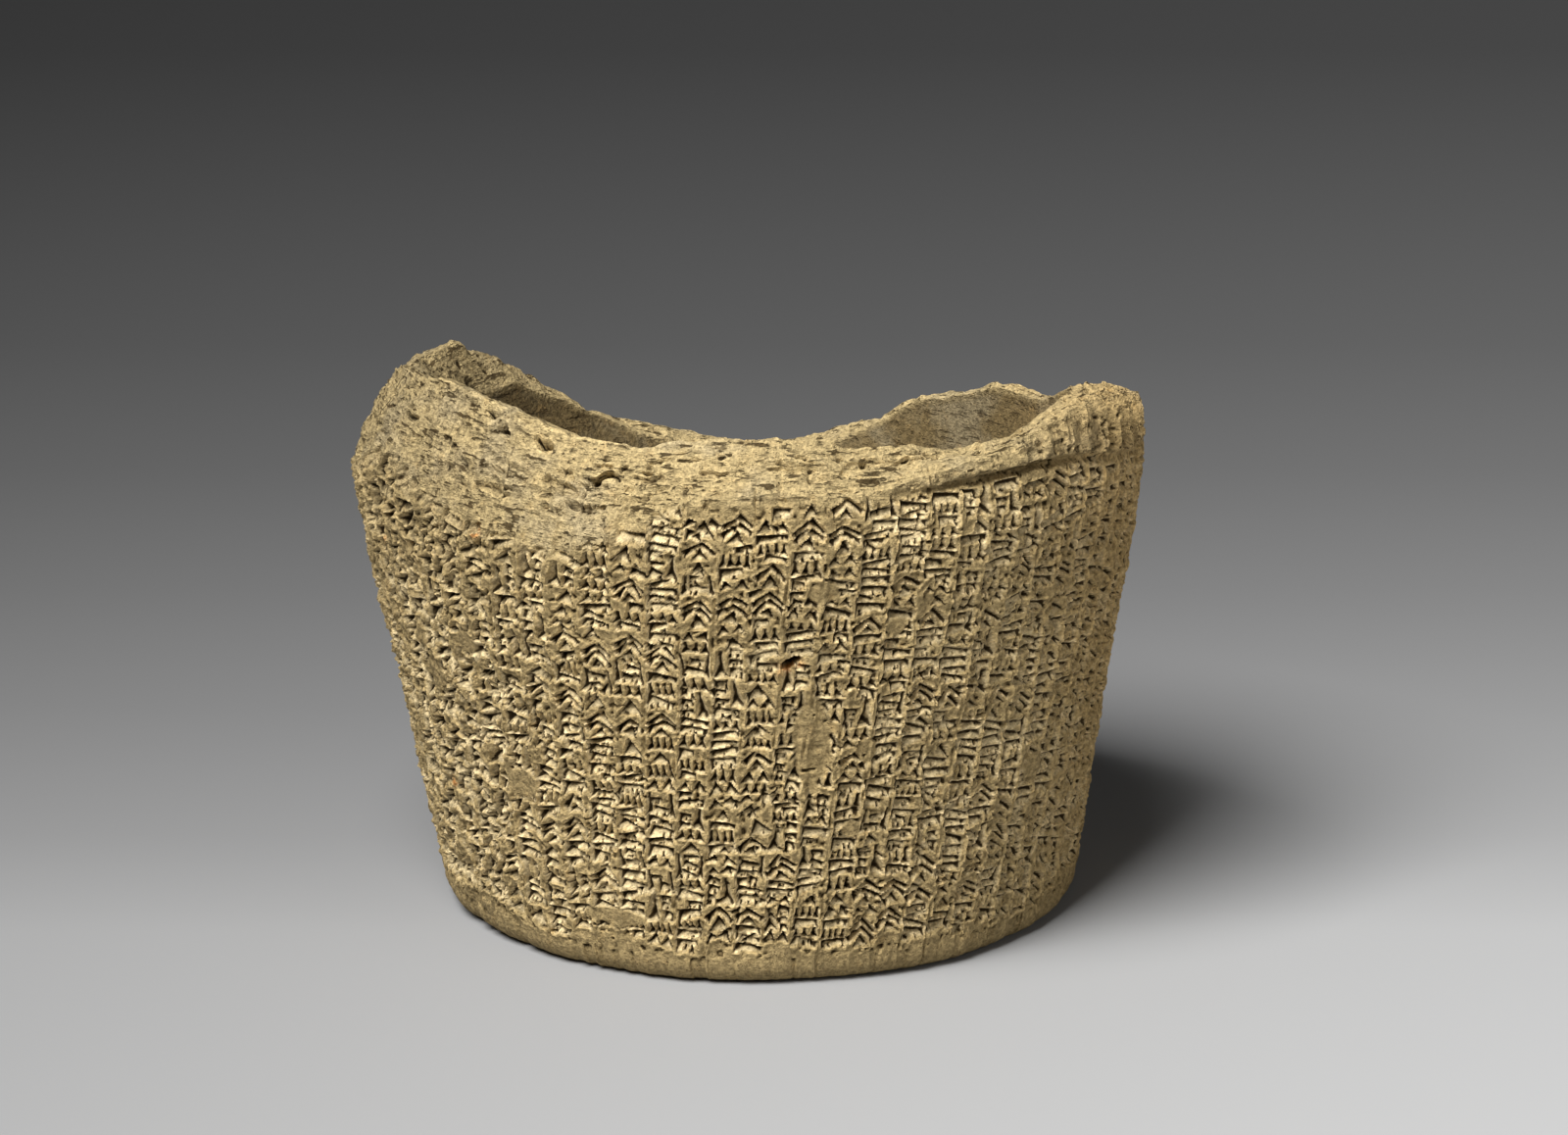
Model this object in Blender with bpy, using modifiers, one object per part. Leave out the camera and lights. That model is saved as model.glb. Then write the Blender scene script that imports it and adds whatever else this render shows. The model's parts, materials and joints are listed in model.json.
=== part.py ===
"""Inscribed clay cylinder: the standing end of a hollow, wheel-thrown barrel of fired clay.

The barrel broke across below its middle, so the wall ends in a rough, uneven break. Text lines
run up the outside, side by side all the way round, and each is a row of shallow strokes.
Everything is in metres. +Z runs up the barrel's own axis and -Y is its front.
"""

import math
import random

import bmesh
import bpy
from mathutils import Vector, noise

# The thrown vessel
BASE_RADIUS = 0.0495        # outside of the wall where it would meet the ground
BELLY_RADIUS = 0.0624       # outside of the wall at the barrel's belly
BELLY_HEIGHT = 0.0725       # height of the belly, above which the wall stands upright
PEAK_HEIGHT = 0.0905        # highest point of the break
WALL = 0.0105               # thickness of the wall
FLOOR = 0.0125              # thickness of the closed end
FOOT_ROUND = 0.0042         # worn round edge at the foot
FLOOR_FILLET = 0.009        # round corner between the floor and the inside of the wall
HOLLOW_SHIFT = 0.0018       # how far the hollow sits off the axis, towards +X
LEAN = -0.028               # sideways drift of the axis along X, per metre of height

# The inscription
TEXT_LINES = 72             # lines round the wall
LINE_SLANT = math.radians(7.0)  # turn of a line from the foot up to the divider
FIELD_BOTTOM = 0.0050       # where the strokes begin
DIVIDER_HEIGHT = 0.0806     # groove that closes the column of text at the top
DIVIDER_DEPTH = 0.0008      # depth of that groove
DIVIDER_WIDTH = 0.0010      # height of that groove
LIP = 0.0005                # how far the band above the groove stands proud
LIP_HEIGHT = 0.0040         # height over which the band comes back to the wall
DIVIDER_FADE = 0.0030       # the groove dies out where the break comes this near above it
STROKE_PITCH = 0.0034       # height of one stroke along a line
STROKE_DEPTH = 0.0010       # how deep a stroke is pressed
STROKE_WANDER = 0.0006      # how far strokes stray from an even spacing

# Places without strokes: azimuth and height of the middle, half width and half height, on the wall
BARE_PATCHES = (
    (math.radians(9.0), 0.0410, 0.0042, 0.0085),
    (math.radians(11.0), 0.0700, 0.0030, 0.0025),
    (math.radians(-38.0), 0.0270, 0.0050, 0.0045),
    (math.radians(-160.0), 0.0330, 0.0060, 0.0040),
)

# The break: azimuth in degrees from the front towards +X, then the height at the outer face, at
# the crest and at the inner face, each as a share of PEAK_HEIGHT
BREAK = (
    (-180, 0.620, 0.625, 0.615),
    (-160, 0.670, 0.680, 0.660),
    (-150, 0.705, 0.720, 0.700),
    (-141, 0.765, 0.782, 0.725),
    (-131, 0.835, 0.852, 0.755),
    (-120, 0.870, 0.902, 0.810),
    (-110, 0.845, 0.905, 0.850),
    (-100, 0.800, 0.915, 0.895),
    (-90, 0.788, 0.942, 0.930),
    (-80, 0.805, 0.965, 0.950),
    (-71, 0.850, 0.975, 0.960),
    (-62, 0.885, 1.000, 0.985),
    (-50, 0.820, 0.995, 0.980),
    (-40, 0.800, 0.980, 0.965),
    (-28, 0.780, 0.955, 0.945),
    (-18, 0.830, 0.950, 0.940),
    (-8, 0.890, 0.970, 0.955),
    (4, 0.900, 0.980, 0.965),
    (14, 0.885, 0.957, 0.945),
    (24, 0.905, 0.943, 0.930),
    (34, 0.920, 0.930, 0.920),
    (44, 0.943, 0.927, 0.910),
    (58, 0.968, 0.960, 0.930),
    (70, 0.950, 0.960, 0.925),
    (84, 0.905, 0.920, 0.895),
    (100, 0.865, 0.875, 0.850),
    (110, 0.840, 0.850, 0.828),
    (119, 0.796, 0.806, 0.788),
    (133, 0.785, 0.795, 0.775),
    (150, 0.735, 0.745, 0.730),
    (158, 0.690, 0.700, 0.685),
    (170, 0.640, 0.650, 0.635),
    (180, 0.620, 0.625, 0.615),
)
CREST_DEPTH = 0.72          # where the crest lies, as a share of the wall from outside to inside
BREAK_GRAIN = 0.0009        # roughness of the broken clay
GRAIN_SIZE = 0.006          # width of its lumps
LUMPS = 0.0006              # unevenness of the hand-finished wall

# How finely the faceted solid is made
FOOT_STEPS = 2
FILLET_STEPS = 3
INNER_ROWS = 4
BREAK_COLUMNS = 108
BREAK_DEPTHS = (-0.6, 0.0, 0.36, CREST_DEPTH, 1.0, 1.5)
CUTTER_TOP = 0.020          # how far the cutter reaches above the peak
SEED = 11

CLAY_COLOUR = (0.50, 0.42, 0.25, 1.0)
CLAY_ROUGHNESS = 0.95


def clear_scene():
    for obj in list(bpy.data.objects):
        bpy.data.objects.remove(obj, do_unlink=True)


def wall_radius(height):
    """Outside radius of the wall: a straight flare up to the belly, upright above it."""
    return BASE_RADIUS + (BELLY_RADIUS - BASE_RADIUS) * min(height / BELLY_HEIGHT, 1.0)


def polar(azimuth, radius, height):
    """A point from its azimuth (0 at the front, growing towards +X), radius and height."""
    return Vector((radius * math.sin(azimuth), -radius * math.cos(azimuth), height))


def azimuth_of(point):
    return math.atan2(point.x, -point.y)


def break_height(azimuth, depth):
    """Height of the broken surface at a depth into the wall: 0 is its outer face, 1 its inner."""
    degrees = math.degrees(azimuth)
    for (start, *low), (end, *high) in zip(BREAK, BREAK[1:]):
        if start <= degrees <= end:
            share = (degrees - start) / (end - start)
            outer, crest, inner = (a + (b - a) * share for a, b in zip(low, high))
            break
    if depth <= CREST_DEPTH:
        height = outer + (crest - outer) * max(depth, 0.0) / CREST_DEPTH
    else:
        height = crest + (inner - crest) * min((depth - CREST_DEPTH) / (1 - CREST_DEPTH), 1.0)
    return height * PEAK_HEIGHT


def arc(centre, radius, start, end, steps):
    """Profile points round a corner, angles in degrees from +X towards +Z."""
    angles = [math.radians(start + (end - start) * i / steps) for i in range(steps + 1)]
    return [(centre[0] + radius * math.cos(a), centre[1] + radius * math.sin(a)) for a in angles]


def stroke_rows():
    """Heights that part one stroke from the next, from the bottom of the text to the divider."""
    top = DIVIDER_HEIGHT - DIVIDER_WIDTH
    count = max(2, round((top - FIELD_BOTTOM) / STROKE_PITCH))
    return [FIELD_BOTTOM + (top - FIELD_BOTTOM) * i / count for i in range(count + 1)]


def vessel_profile():
    """(radius, height) of the unbroken vessel, from the middle of its floor, over the rim, to
    the middle of its underside."""
    inside = [(0.0, FLOOR)]
    corner = wall_radius(FLOOR + FLOOR_FILLET) - WALL - FLOOR_FILLET
    inside += arc((corner, FLOOR + FLOOR_FILLET), FLOOR_FILLET, -90, 0, FILLET_STEPS)
    start = FLOOR + FLOOR_FILLET
    for i in range(1, INNER_ROWS + 1):
        height = start + (PEAK_HEIGHT - start) * i / INNER_ROWS
        inside.append((wall_radius(height) - WALL, height))
    lip_top = DIVIDER_HEIGHT + LIP_HEIGHT
    outside = [(wall_radius(PEAK_HEIGHT), PEAK_HEIGHT)]
    outside.append((wall_radius(lip_top), lip_top))
    for height in (DIVIDER_HEIGHT, DIVIDER_HEIGHT - DIVIDER_WIDTH / 2):
        outside.append((wall_radius(height), height))
    outside += [(wall_radius(height), height) for height in reversed(stroke_rows())]
    turn = (wall_radius(FOOT_ROUND) - FOOT_ROUND, FOOT_ROUND)
    outside += arc(turn, FOOT_ROUND, 0, -90, FOOT_STEPS)
    return inside + outside + [(0.0, 0.0)]


def turned(name, profile, columns):
    """A closed mesh object: the profile screwed once round Z."""
    mesh = bpy.data.meshes.new(name)
    edges = [(i, i + 1) for i in range(len(profile) - 1)]
    mesh.from_pydata([(radius, 0.0, height) for radius, height in profile], edges, [])
    template = bpy.data.objects.new(name + "_profile", mesh)
    bpy.context.scene.collection.objects.link(template)
    screw = template.modifiers.new("turn", "SCREW")
    screw.steps = columns
    screw.render_steps = columns
    screw.use_merge_vertices = True
    screw.merge_threshold = 0.00001
    bpy.context.view_layer.update()
    evaluated = template.evaluated_get(bpy.context.evaluated_depsgraph_get())
    solid = bpy.data.objects.new(name, bpy.data.meshes.new_from_object(evaluated))
    bpy.data.objects.remove(template, do_unlink=True)
    return solid


def in_bare_patch(azimuth, height):
    for patch_azimuth, patch_height, half_width, half_height in BARE_PATCHES:
        across = math.remainder(azimuth - patch_azimuth, 2 * math.pi) * wall_radius(height)
        if (across / half_width) ** 2 + ((height - patch_height) / half_height) ** 2 < 1:
            return True
    return False


def is_outer(point):
    """Whether a point of the vessel lies on the outer face of the wall."""
    return math.hypot(point.x, point.y) > wall_radius(point.z) - WALL / 2


def in_text(height):
    return FIELD_BOTTOM < height < DIVIDER_HEIGHT - DIVIDER_WIDTH


def press_strokes(mesh):
    """Presses one stroke into each cell of the outer wall, deepest towards a lower corner."""
    chance = random.Random(SEED)
    shaped = bmesh.new()
    shaped.from_mesh(mesh)
    for vertex in shaped.verts:
        if is_outer(vertex.co) and FIELD_BOTTOM + STROKE_PITCH / 2 < vertex.co.z and in_text(vertex.co.z):
            vertex.co.z += chance.uniform(-STROKE_WANDER, STROKE_WANDER)
    cells = []
    for face in shaped.faces:
        middle = face.calc_center_median()
        if len(face.verts) == 4 and is_outer(middle) and in_text(middle.z):
            if not in_bare_patch(azimuth_of(middle), middle.z):
                cells.append(face)
    poked = bmesh.ops.poke(shaped, faces=cells, offset=0.0, center_mode="MEAN")
    cell_width = 2 * math.pi / TEXT_LINES
    for vertex in poked["verts"]:
        azimuth = azimuth_of(vertex.co) + chance.uniform(-0.28, 0.28) * cell_width
        height = vertex.co.z + chance.uniform(-0.34, 0.12) * STROKE_PITCH
        depth = STROKE_DEPTH * chance.uniform(0.6, 1.3)
        vertex.co = polar(azimuth, wall_radius(height) - depth, height)
    shaped.to_mesh(mesh)
    shaped.free()


def divider_relief(azimuth, height):
    """How far the outer wall stands out at a height: the groove, and the proud lip above it."""
    above = break_height(azimuth, 0.0) - DIVIDER_HEIGHT
    share = min(max(above / DIVIDER_FADE, 0.0), 1.0)
    if abs(height - DIVIDER_HEIGHT) < DIVIDER_WIDTH / 8:
        return LIP * share
    if abs(height - DIVIDER_HEIGHT + DIVIDER_WIDTH / 2) < DIVIDER_WIDTH / 8:
        return -DIVIDER_DEPTH * share
    return 0.0


def finish_by_hand(mesh):
    """Cuts the divider, then turns, leans and slightly lumps every point of the vessel."""
    lump_size = 0.022
    for vertex in mesh.vertices:
        point = vertex.co.copy()
        outer = is_outer(point) and point.z > FOOT_ROUND / 2
        azimuth = azimuth_of(point) + LINE_SLANT * point.z / DIVIDER_HEIGHT
        radius = math.hypot(point.x, point.y)
        if outer:
            radius += divider_relief(math.remainder(azimuth, 2 * math.pi), point.z)
            radius += LUMPS * noise.noise(point / lump_size)
        placed = polar(azimuth, radius, point.z)
        if not outer and point.z > FLOOR / 2:
            placed.x += HOLLOW_SHIFT
        placed.x += LEAN * point.z
        vertex.co = placed


def make_vessel():
    """The whole thrown vessel with its text, before it broke."""
    vessel = turned("clay_cylinder", vessel_profile(), TEXT_LINES)
    press_strokes(vessel.data)
    finish_by_hand(vessel.data)
    return vessel


def make_break():
    """The clay that broke away: a block whose underside is the broken surface."""
    top = PEAK_HEIGHT + CUTTER_TOP
    reach = BELLY_RADIUS + WALL
    profile = [(0.0, top), (reach, top)]
    profile += [(BELLY_RADIUS - depth * WALL, PEAK_HEIGHT) for depth in BREAK_DEPTHS]
    profile += [(0.0, PEAK_HEIGHT)]
    cutter = turned("broken_away", profile, BREAK_COLUMNS)
    for vertex in cutter.data.vertices:
        point = vertex.co.copy()
        radius = math.hypot(point.x, point.y)
        if point.z > PEAK_HEIGHT + CUTTER_TOP / 2:
            continue
        depth = (BELLY_RADIUS - radius) / WALL
        azimuth = azimuth_of(point)
        height = break_height(azimuth, depth)
        if 0.0 < depth < 1.2:
            height += BREAK_GRAIN * noise.noise(polar(azimuth, radius, height) / GRAIN_SIZE)
        if depth <= BREAK_DEPTHS[-1]:
            radius += wall_radius(height) - BELLY_RADIUS
        placed = polar(azimuth, radius, height)
        placed.x += LEAN * height
        vertex.co = placed
    return cutter


def clay():
    material = bpy.data.materials.new("fired_clay")
    material.use_nodes = True
    shader = material.node_tree.nodes["Principled BSDF"]
    shader.inputs["Base Color"].default_value = CLAY_COLOUR
    shader.inputs["Roughness"].default_value = CLAY_ROUGHNESS
    shader.inputs["Metallic"].default_value = 0.0
    return material


def main():
    clear_scene()
    part = bpy.data.collections.new("inscribed_clay_cylinder")
    helpers = bpy.data.collections.new("cutters")
    for collection in (part, helpers):
        bpy.context.scene.collection.children.link(collection)

    vessel = make_vessel()
    part.objects.link(vessel)
    cutter = make_break()
    helpers.objects.link(cutter)
    cutter.hide_render = True
    cutter.display_type = "WIRE"

    snap = vessel.modifiers.new("break", "BOOLEAN")
    snap.operation = "DIFFERENCE"
    snap.object = cutter
    vessel.data.materials.append(clay())
    vessel.data.shade_smooth()
    vessel.data.set_sharp_from_angle(angle=math.radians(25))


main()
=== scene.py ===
"""The looks of the inscribed clay cylinder: the standing end of a broken, hollow clay barrel.

One grid of columns runs round the clay. A sheet for the outer wall is pressed by Geometry Nodes with
thousands of stylus marks, then weathered, and joined to the break, the hollow and the foot. The grid
is cut into five closed sectors, which meet on the rules between two lines of text.
Sizes are in metres. +Z runs up the barrel's axis, and azimuth 0 faces -Y and grows towards +X.
"""

import json
import logging
import math
import random
from dataclasses import dataclass, field
from enum import Enum, IntEnum

import bpy
import numpy as np
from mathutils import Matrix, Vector, noise
from mathutils.geometry import tessellate_polygon

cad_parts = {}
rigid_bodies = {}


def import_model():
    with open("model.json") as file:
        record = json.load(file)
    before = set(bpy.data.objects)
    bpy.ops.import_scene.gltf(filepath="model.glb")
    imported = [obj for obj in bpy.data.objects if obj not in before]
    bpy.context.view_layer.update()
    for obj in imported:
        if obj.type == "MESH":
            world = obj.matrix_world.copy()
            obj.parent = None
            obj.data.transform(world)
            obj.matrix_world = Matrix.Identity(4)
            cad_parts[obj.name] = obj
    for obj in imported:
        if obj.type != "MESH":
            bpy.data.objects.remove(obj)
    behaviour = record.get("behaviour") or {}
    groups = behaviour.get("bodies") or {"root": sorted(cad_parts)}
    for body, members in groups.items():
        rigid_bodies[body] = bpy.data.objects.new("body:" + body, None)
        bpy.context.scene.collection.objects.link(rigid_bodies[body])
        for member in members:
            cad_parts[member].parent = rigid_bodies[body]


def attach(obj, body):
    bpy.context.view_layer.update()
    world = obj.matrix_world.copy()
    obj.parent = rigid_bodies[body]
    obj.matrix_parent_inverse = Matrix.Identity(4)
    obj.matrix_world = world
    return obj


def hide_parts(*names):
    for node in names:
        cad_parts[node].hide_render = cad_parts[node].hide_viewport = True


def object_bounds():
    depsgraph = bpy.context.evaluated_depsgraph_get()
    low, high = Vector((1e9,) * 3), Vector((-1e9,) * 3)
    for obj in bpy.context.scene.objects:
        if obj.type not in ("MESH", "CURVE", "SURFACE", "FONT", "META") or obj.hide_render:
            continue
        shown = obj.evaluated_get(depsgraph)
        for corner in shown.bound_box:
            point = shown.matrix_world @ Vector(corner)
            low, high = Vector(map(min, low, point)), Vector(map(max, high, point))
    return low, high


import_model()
CAD_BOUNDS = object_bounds()

log = logging.getLogger("inscribed_clay_cylinder")

Array = np.ndarray
MM = 0.001


class StrokeKind(IntEnum):
    """The marks that one corner of a reed stylus makes, in the order of their solids' names."""

    CROSS = 0
    UPRIGHT = 1
    CORNER = 2


class Sign(Enum):
    """Generic groups of strokes. They spell nothing."""

    BARS = "bars"
    COMB = "comb"
    WEDGE = "wedge"
    TALL = "tall"
    LADDER = "ladder"
    PAIR = "pair"
    ROOF = "roof"
    BOX = "box"


class ClayNoise:
    """Seeded value noise, evaluated for many points at once."""

    SIZE = 4096

    def __init__(self, seed: int) -> None:
        """Fills the table of random values.

        Args:
            seed: picks one fixed pattern.
        """
        self.values = np.random.default_rng(seed).uniform(-1.0, 1.0, self.SIZE)

    def at(self, points: Array, grain: float, octaves: int = 1) -> Array:
        """Gives the noise at each point.

        Args:
            points: an array of shape (..., 3).
            grain: width of the largest lumps, in the points' own unit.
            octaves: how many finer layers are added, each half as wide and half as strong.

        Returns:
            Values from about -1 to 1, in the points' leading shape.
        """
        total = np.zeros(points.shape[:-1])
        strength, norm = 1.0, 0.0
        for octave in range(octaves):
            total += strength * self._layer(points / grain + 17.3 * octave)
            norm += strength
            strength *= 0.5
            grain *= 0.5
        return total / norm

    def _layer(self, places: Array) -> Array:
        """Blends the random values at the eight lattice corners round each place.

        Args:
            places: an array of shape (..., 3), counted in lattice cells.

        Returns:
            Values from -1 to 1.
        """
        cell = np.floor(places).astype(np.int64)
        part = places - cell
        ease = part * part * (3.0 - 2.0 * part)
        result = np.zeros(places.shape[:-1])
        for corner in range(8):
            step = np.array([corner & 1, (corner >> 1) & 1, corner >> 2])
            share = np.prod(np.where(step == 1, ease, 1.0 - ease), axis=-1)
            at = cell + step
            key = at[..., 0] * 73856093 ^ at[..., 1] * 19349663 ^ at[..., 2] * 83492791
            result += share * self.values[key & (self.SIZE - 1)]
        return result


def smooth_step(low: float, high: float, value: Array) -> Array:
    """Rises smoothly from 0 at low to 1 at high."""
    share = np.clip((value - low) / (high - low), 0.0, 1.0)
    return share * share * (3.0 - 2.0 * share)


def wrap(angle: Array) -> Array:
    """Brings angles into the range from -pi to pi."""
    return (angle + math.pi) % (2.0 * math.pi) - math.pi


@dataclass(frozen=True)
class BarrelWall:
    """The thrown wall, as the solid has it."""

    base_radius: float = 0.0495
    belly_radius: float = 0.0624
    belly_height: float = 0.0725
    thickness: float = 0.0105
    floor: float = 0.0125
    foot_round: float = 0.0042
    fillet: float = 0.009
    hollow_shift: float = 0.0018
    lean: float = -0.028
    text_lines: int = 72
    line_slant: float = math.radians(7.0)
    divider: float = 0.0806
    lumps: float = 0.0006
    lump_size: float = 0.022

    def radius(self, height: Array) -> Array:
        """Outside radius: a straight flare up to the belly, upright above it."""
        share = np.minimum(height / self.belly_height, 1.0)
        return self.base_radius + (self.belly_radius - self.base_radius) * share

    def slant(self, height: Array) -> Array:
        """How far a text line has turned at a height."""
        return self.line_slant * height / self.divider

    def place(self, azimuth: Array, radius: Array, height: Array, shift: Array = 0.0) -> Array:
        """Places points by azimuth, radius and height, with the axis's lean.

        Args:
            azimuth: angles round the axis, in radians.
            radius: distances from the axis.
            height: heights above the ground.
            shift: how far the points stand towards +X of the wall's own axis.

        Returns:
            Points of shape (..., 3).
        """
        x = radius * np.sin(azimuth) + self.lean * height + shift
        y = -radius * np.cos(azimuth)
        return np.stack(np.broadcast_arrays(x, y, height), axis=-1)

    def divider_height(self, azimuth: Array) -> Array:
        """The divider's height, which drifts where the scribe's hand did.

        Args:
            azimuth: angles from -pi to pi.

        Returns:
            Heights in metres.
        """
        degrees = np.degrees(azimuth)
        rise = 0.0010 * np.exp(-(((degrees - 45.0) / 12.0) ** 2))
        sag = 0.0046 * smooth_step(50.0, 80.0, degrees) * (1.0 - smooth_step(110.0, 140.0, degrees))
        return self.divider + rise - sag

    def line_pitch(self, height: Array) -> Array:
        """Distance from one text line to the next."""
        return 2.0 * math.pi * self.radius(height) / self.text_lines


@dataclass(frozen=True)
class Break:
    """The broken surface: its height at the outer face, the crest and the inner face.

    Each row is an azimuth in degrees and three heights as shares of the peak.
    """

    peak: float = 0.0905
    crest_depth: float = 0.72
    top_margin: float = 0.0001
    rows: tuple = (
        (-180, 0.620, 0.625, 0.615),
        (-160, 0.670, 0.680, 0.660),
        (-150, 0.680, 0.722, 0.716),
        (-141, 0.735, 0.782, 0.760),
        (-131, 0.800, 0.852, 0.810),
        (-120, 0.870, 0.902, 0.810),
        (-110, 0.845, 0.905, 0.850),
        (-100, 0.800, 0.915, 0.895),
        (-90, 0.788, 0.942, 0.930),
        (-80, 0.805, 0.965, 0.950),
        (-71, 0.850, 0.975, 0.960),
        (-62, 0.885, 1.000, 0.985),
        (-50, 0.820, 0.995, 0.980),
        (-40, 0.800, 0.980, 0.965),
        (-28, 0.780, 0.955, 0.945),
        (-18, 0.830, 0.950, 0.940),
        (-8, 0.890, 0.970, 0.955),
        (4, 0.900, 0.980, 0.965),
        (14, 0.885, 0.957, 0.945),
        (24, 0.905, 0.943, 0.930),
        (34, 0.920, 0.930, 0.920),
        (44, 0.943, 0.927, 0.910),
        (58, 0.968, 0.960, 0.930),
        (70, 0.950, 0.960, 0.925),
        (84, 0.905, 0.920, 0.895),
        (100, 0.865, 0.875, 0.850),
        (110, 0.815, 0.850, 0.842),
        (119, 0.762, 0.806, 0.804),
        (133, 0.742, 0.797, 0.794),
        (150, 0.695, 0.745, 0.742),
        (158, 0.655, 0.700, 0.696),
        (170, 0.640, 0.650, 0.635),
        (180, 0.620, 0.625, 0.615),
    )

    def height(self, azimuth: Array, depth: Array) -> Array:
        """Height of the broken surface.

        Args:
            azimuth: angles in radians.
            depth: 0 at the outer face of the wall, 1 at the inner face.

        Returns:
            Heights in metres, before the roughness of the clay.
        """
        table = np.array(self.rows)
        degrees = np.degrees(wrap(azimuth))
        outer, crest, inner = (np.interp(degrees, table[:, 0], table[:, i]) for i in (1, 2, 3))
        rise = outer + (crest - outer) * np.clip(depth / self.crest_depth, 0.0, 1.0)
        fall = crest + (inner - crest) * np.clip((depth - self.crest_depth) / (1 - self.crest_depth), 0, 1)
        return np.where(depth <= self.crest_depth, rise, fall) * self.peak


@dataclass(frozen=True)
class Stroke:
    """One mark of the stylus on the unrolled wall."""

    kind: StrokeKind
    line: float
    height: float
    width: float
    length: float
    depth: float
    turn: float = 0.0


@dataclass
class Scribe:
    """Lays out rows of strokes in random generic groups, line by line."""

    wall: BarrelWall
    seed: int = 5
    bottom: float = 0.0052
    gap: float = 0.0001
    stray_marks: int = 11
    rough_marks: int = 16
    rough_side: tuple = (-105.0, -38.0)
    rough_growth: float = 1.65
    rough_sway: float = 34.0
    top_margin: float = 0.0006
    least_room: float = 0.0012
    weights: tuple = (6, 4, 4, 3, 4, 3, 5, 2)
    strokes: list = field(default_factory=list)
    rough: bool = field(default=False, init=False)
    top: float = field(default=0.0, init=False)

    def write(self) -> list:
        """Fills every line from the foot to the divider.

        Returns:
            All strokes, with their line as a number of lines round the wall.
        """
        chance = random.Random(self.seed)
        for line in range(self.wall.text_lines):
            middle = float(wrap((line + 1.5) * 2.0 * math.pi / self.wall.text_lines))
            self.rough = self.rough_side[0] < math.degrees(middle) < self.rough_side[1]
            top = self.top = float(self.wall.divider_height(middle)) - self.top_margin
            height = self.bottom + chance.uniform(0.0, 0.003)
            while height < top - self.least_room:
                room = top - height
                sign = chance.choices(list(Sign), weights=self.weights)[0]
                height += self._sign(sign, line + 0.5, height, room, chance) + self.gap
            self._stray_marks(line + 0.5, top, chance)
        return self.strokes

    def _stray_marks(self, line: float, top: float, chance: random.Random) -> None:
        """Adds a few small marks across a line's signs, as crowded writing has.

        Args:
            line: middle of the line, counted in lines round the wall.
            top: where the line ends.
            chance: the source of variation.
        """
        grown = self.rough_growth if self.rough else 1.0
        for _ in range(self.rough_marks if self.rough else self.stray_marks):
            height = chance.uniform(self.bottom + 0.002, top - 0.002)
            kind = chance.choice((StrokeKind.CROSS, StrokeKind.UPRIGHT, StrokeKind.CORNER))
            size = (chance.uniform(1.4, 2.8) * grown * MM, chance.uniform(1.1, 2.2) * grown * MM,
                    chance.uniform(0.9, 1.8) * MM)
            turn = math.radians(chance.uniform(-60, 60))
            self._add(kind, line + chance.uniform(-0.4, 0.4), height, size, turn)

    def _add(self, kind: StrokeKind, line: float, height: float, size: tuple, turn: float = 0.0) -> None:
        """Notes one stroke, unless it would cross the divider.

        Args:
            kind: which mark of the stylus.
            line: its middle, counted in lines round the wall.
            height: its middle's height.
            size: its width, length and depth, in metres.
            turn: how far it is turned from upright, in radians.
        """
        width, length, depth = size
        if height + 0.5 * length > self.top:
            return
        if self.rough:
            turn += math.radians(self.rough_sway * math.sin(7.3 * line + 900.0 * height))
        self.strokes.append(Stroke(kind, line, height, width, length, depth, turn))

    def _bar(self, line: float, height: float, span: float, chance: random.Random) -> float:
        """Adds a stroke across the line.

        Args:
            line: middle of the stroke, counted in lines round the wall.
            height: its lower edge.
            span: its share of the line's width.
            chance: the source of variation.

        Returns:
            The height that it takes.
        """
        pitch = self.wall.line_pitch(height)
        tall = chance.uniform(1.15, 2.0) * MM
        share = chance.choice((1.0, 1.0, chance.uniform(0.55, 0.9)))
        length = pitch * span * share * chance.uniform(0.94, 1.08)
        place = line + 0.5 * span * (1.0 - share) * chance.choice((-1, 1)) + chance.uniform(-0.04, 0.05)
        depth = chance.uniform(0.9, 1.7) * MM
        tilt = math.radians(chance.uniform(-12, 12))
        self._add(StrokeKind.CROSS, place, height + tall / 2, (length, tall * 1.2, depth), tilt)
        for _ in range(chance.choice((0, 1, 2, 3, 4))):
            notch = place + chance.uniform(-0.42, 0.42) * span * share
            wide = chance.uniform(0.45, 0.8) * MM
            size = (wide, tall * chance.uniform(0.8, 1.3), chance.uniform(0.9, 1.4) * MM)
            turn = math.radians(chance.uniform(-15, 15))
            self._add(StrokeKind.UPRIGHT, notch, height + tall * 0.4, size, turn)
        return tall

    def _teeth(self, line: float, height: float, count: int, chance: random.Random) -> float:
        """Adds upright strokes side by side.

        Args:
            line: middle of the stroke, counted in lines round the wall.
            height: its lower edge.
            count: how many strokes.
            chance: the source of variation.

        Returns:
            The height that they take.
        """
        pitch = self.wall.line_pitch(height)
        tall = chance.uniform(1.4, 2.6) * MM
        room = 0.86 / count
        for i in range(count):
            place = line - 0.43 + room * (i + 0.5) + chance.uniform(-0.02, 0.02)
            size = (pitch * room * 1.12, tall * chance.uniform(0.9, 1.1), chance.uniform(1.2, 1.7) * MM)
            self._add(StrokeKind.UPRIGHT, place, height + tall / 2 + chance.uniform(-0.1, 0.1) * MM, size)
        return tall

    def _corner(self, line: float, height: float, wide: float, chance: random.Random) -> float:
        """Adds one corner mark.

        Args:
            line: middle of the stroke, counted in lines round the wall.
            height: its lower edge.
            wide: its width.
            chance: the source of variation.

        Returns:
            The height that it takes.
        """
        tall = wide * chance.uniform(0.60, 0.95)
        size = (wide, tall, chance.uniform(1.2, 2.0) * MM)
        self._add(StrokeKind.CORNER, line, height + tall / 2, size, math.radians(chance.uniform(-16, 16)))
        return tall

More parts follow.
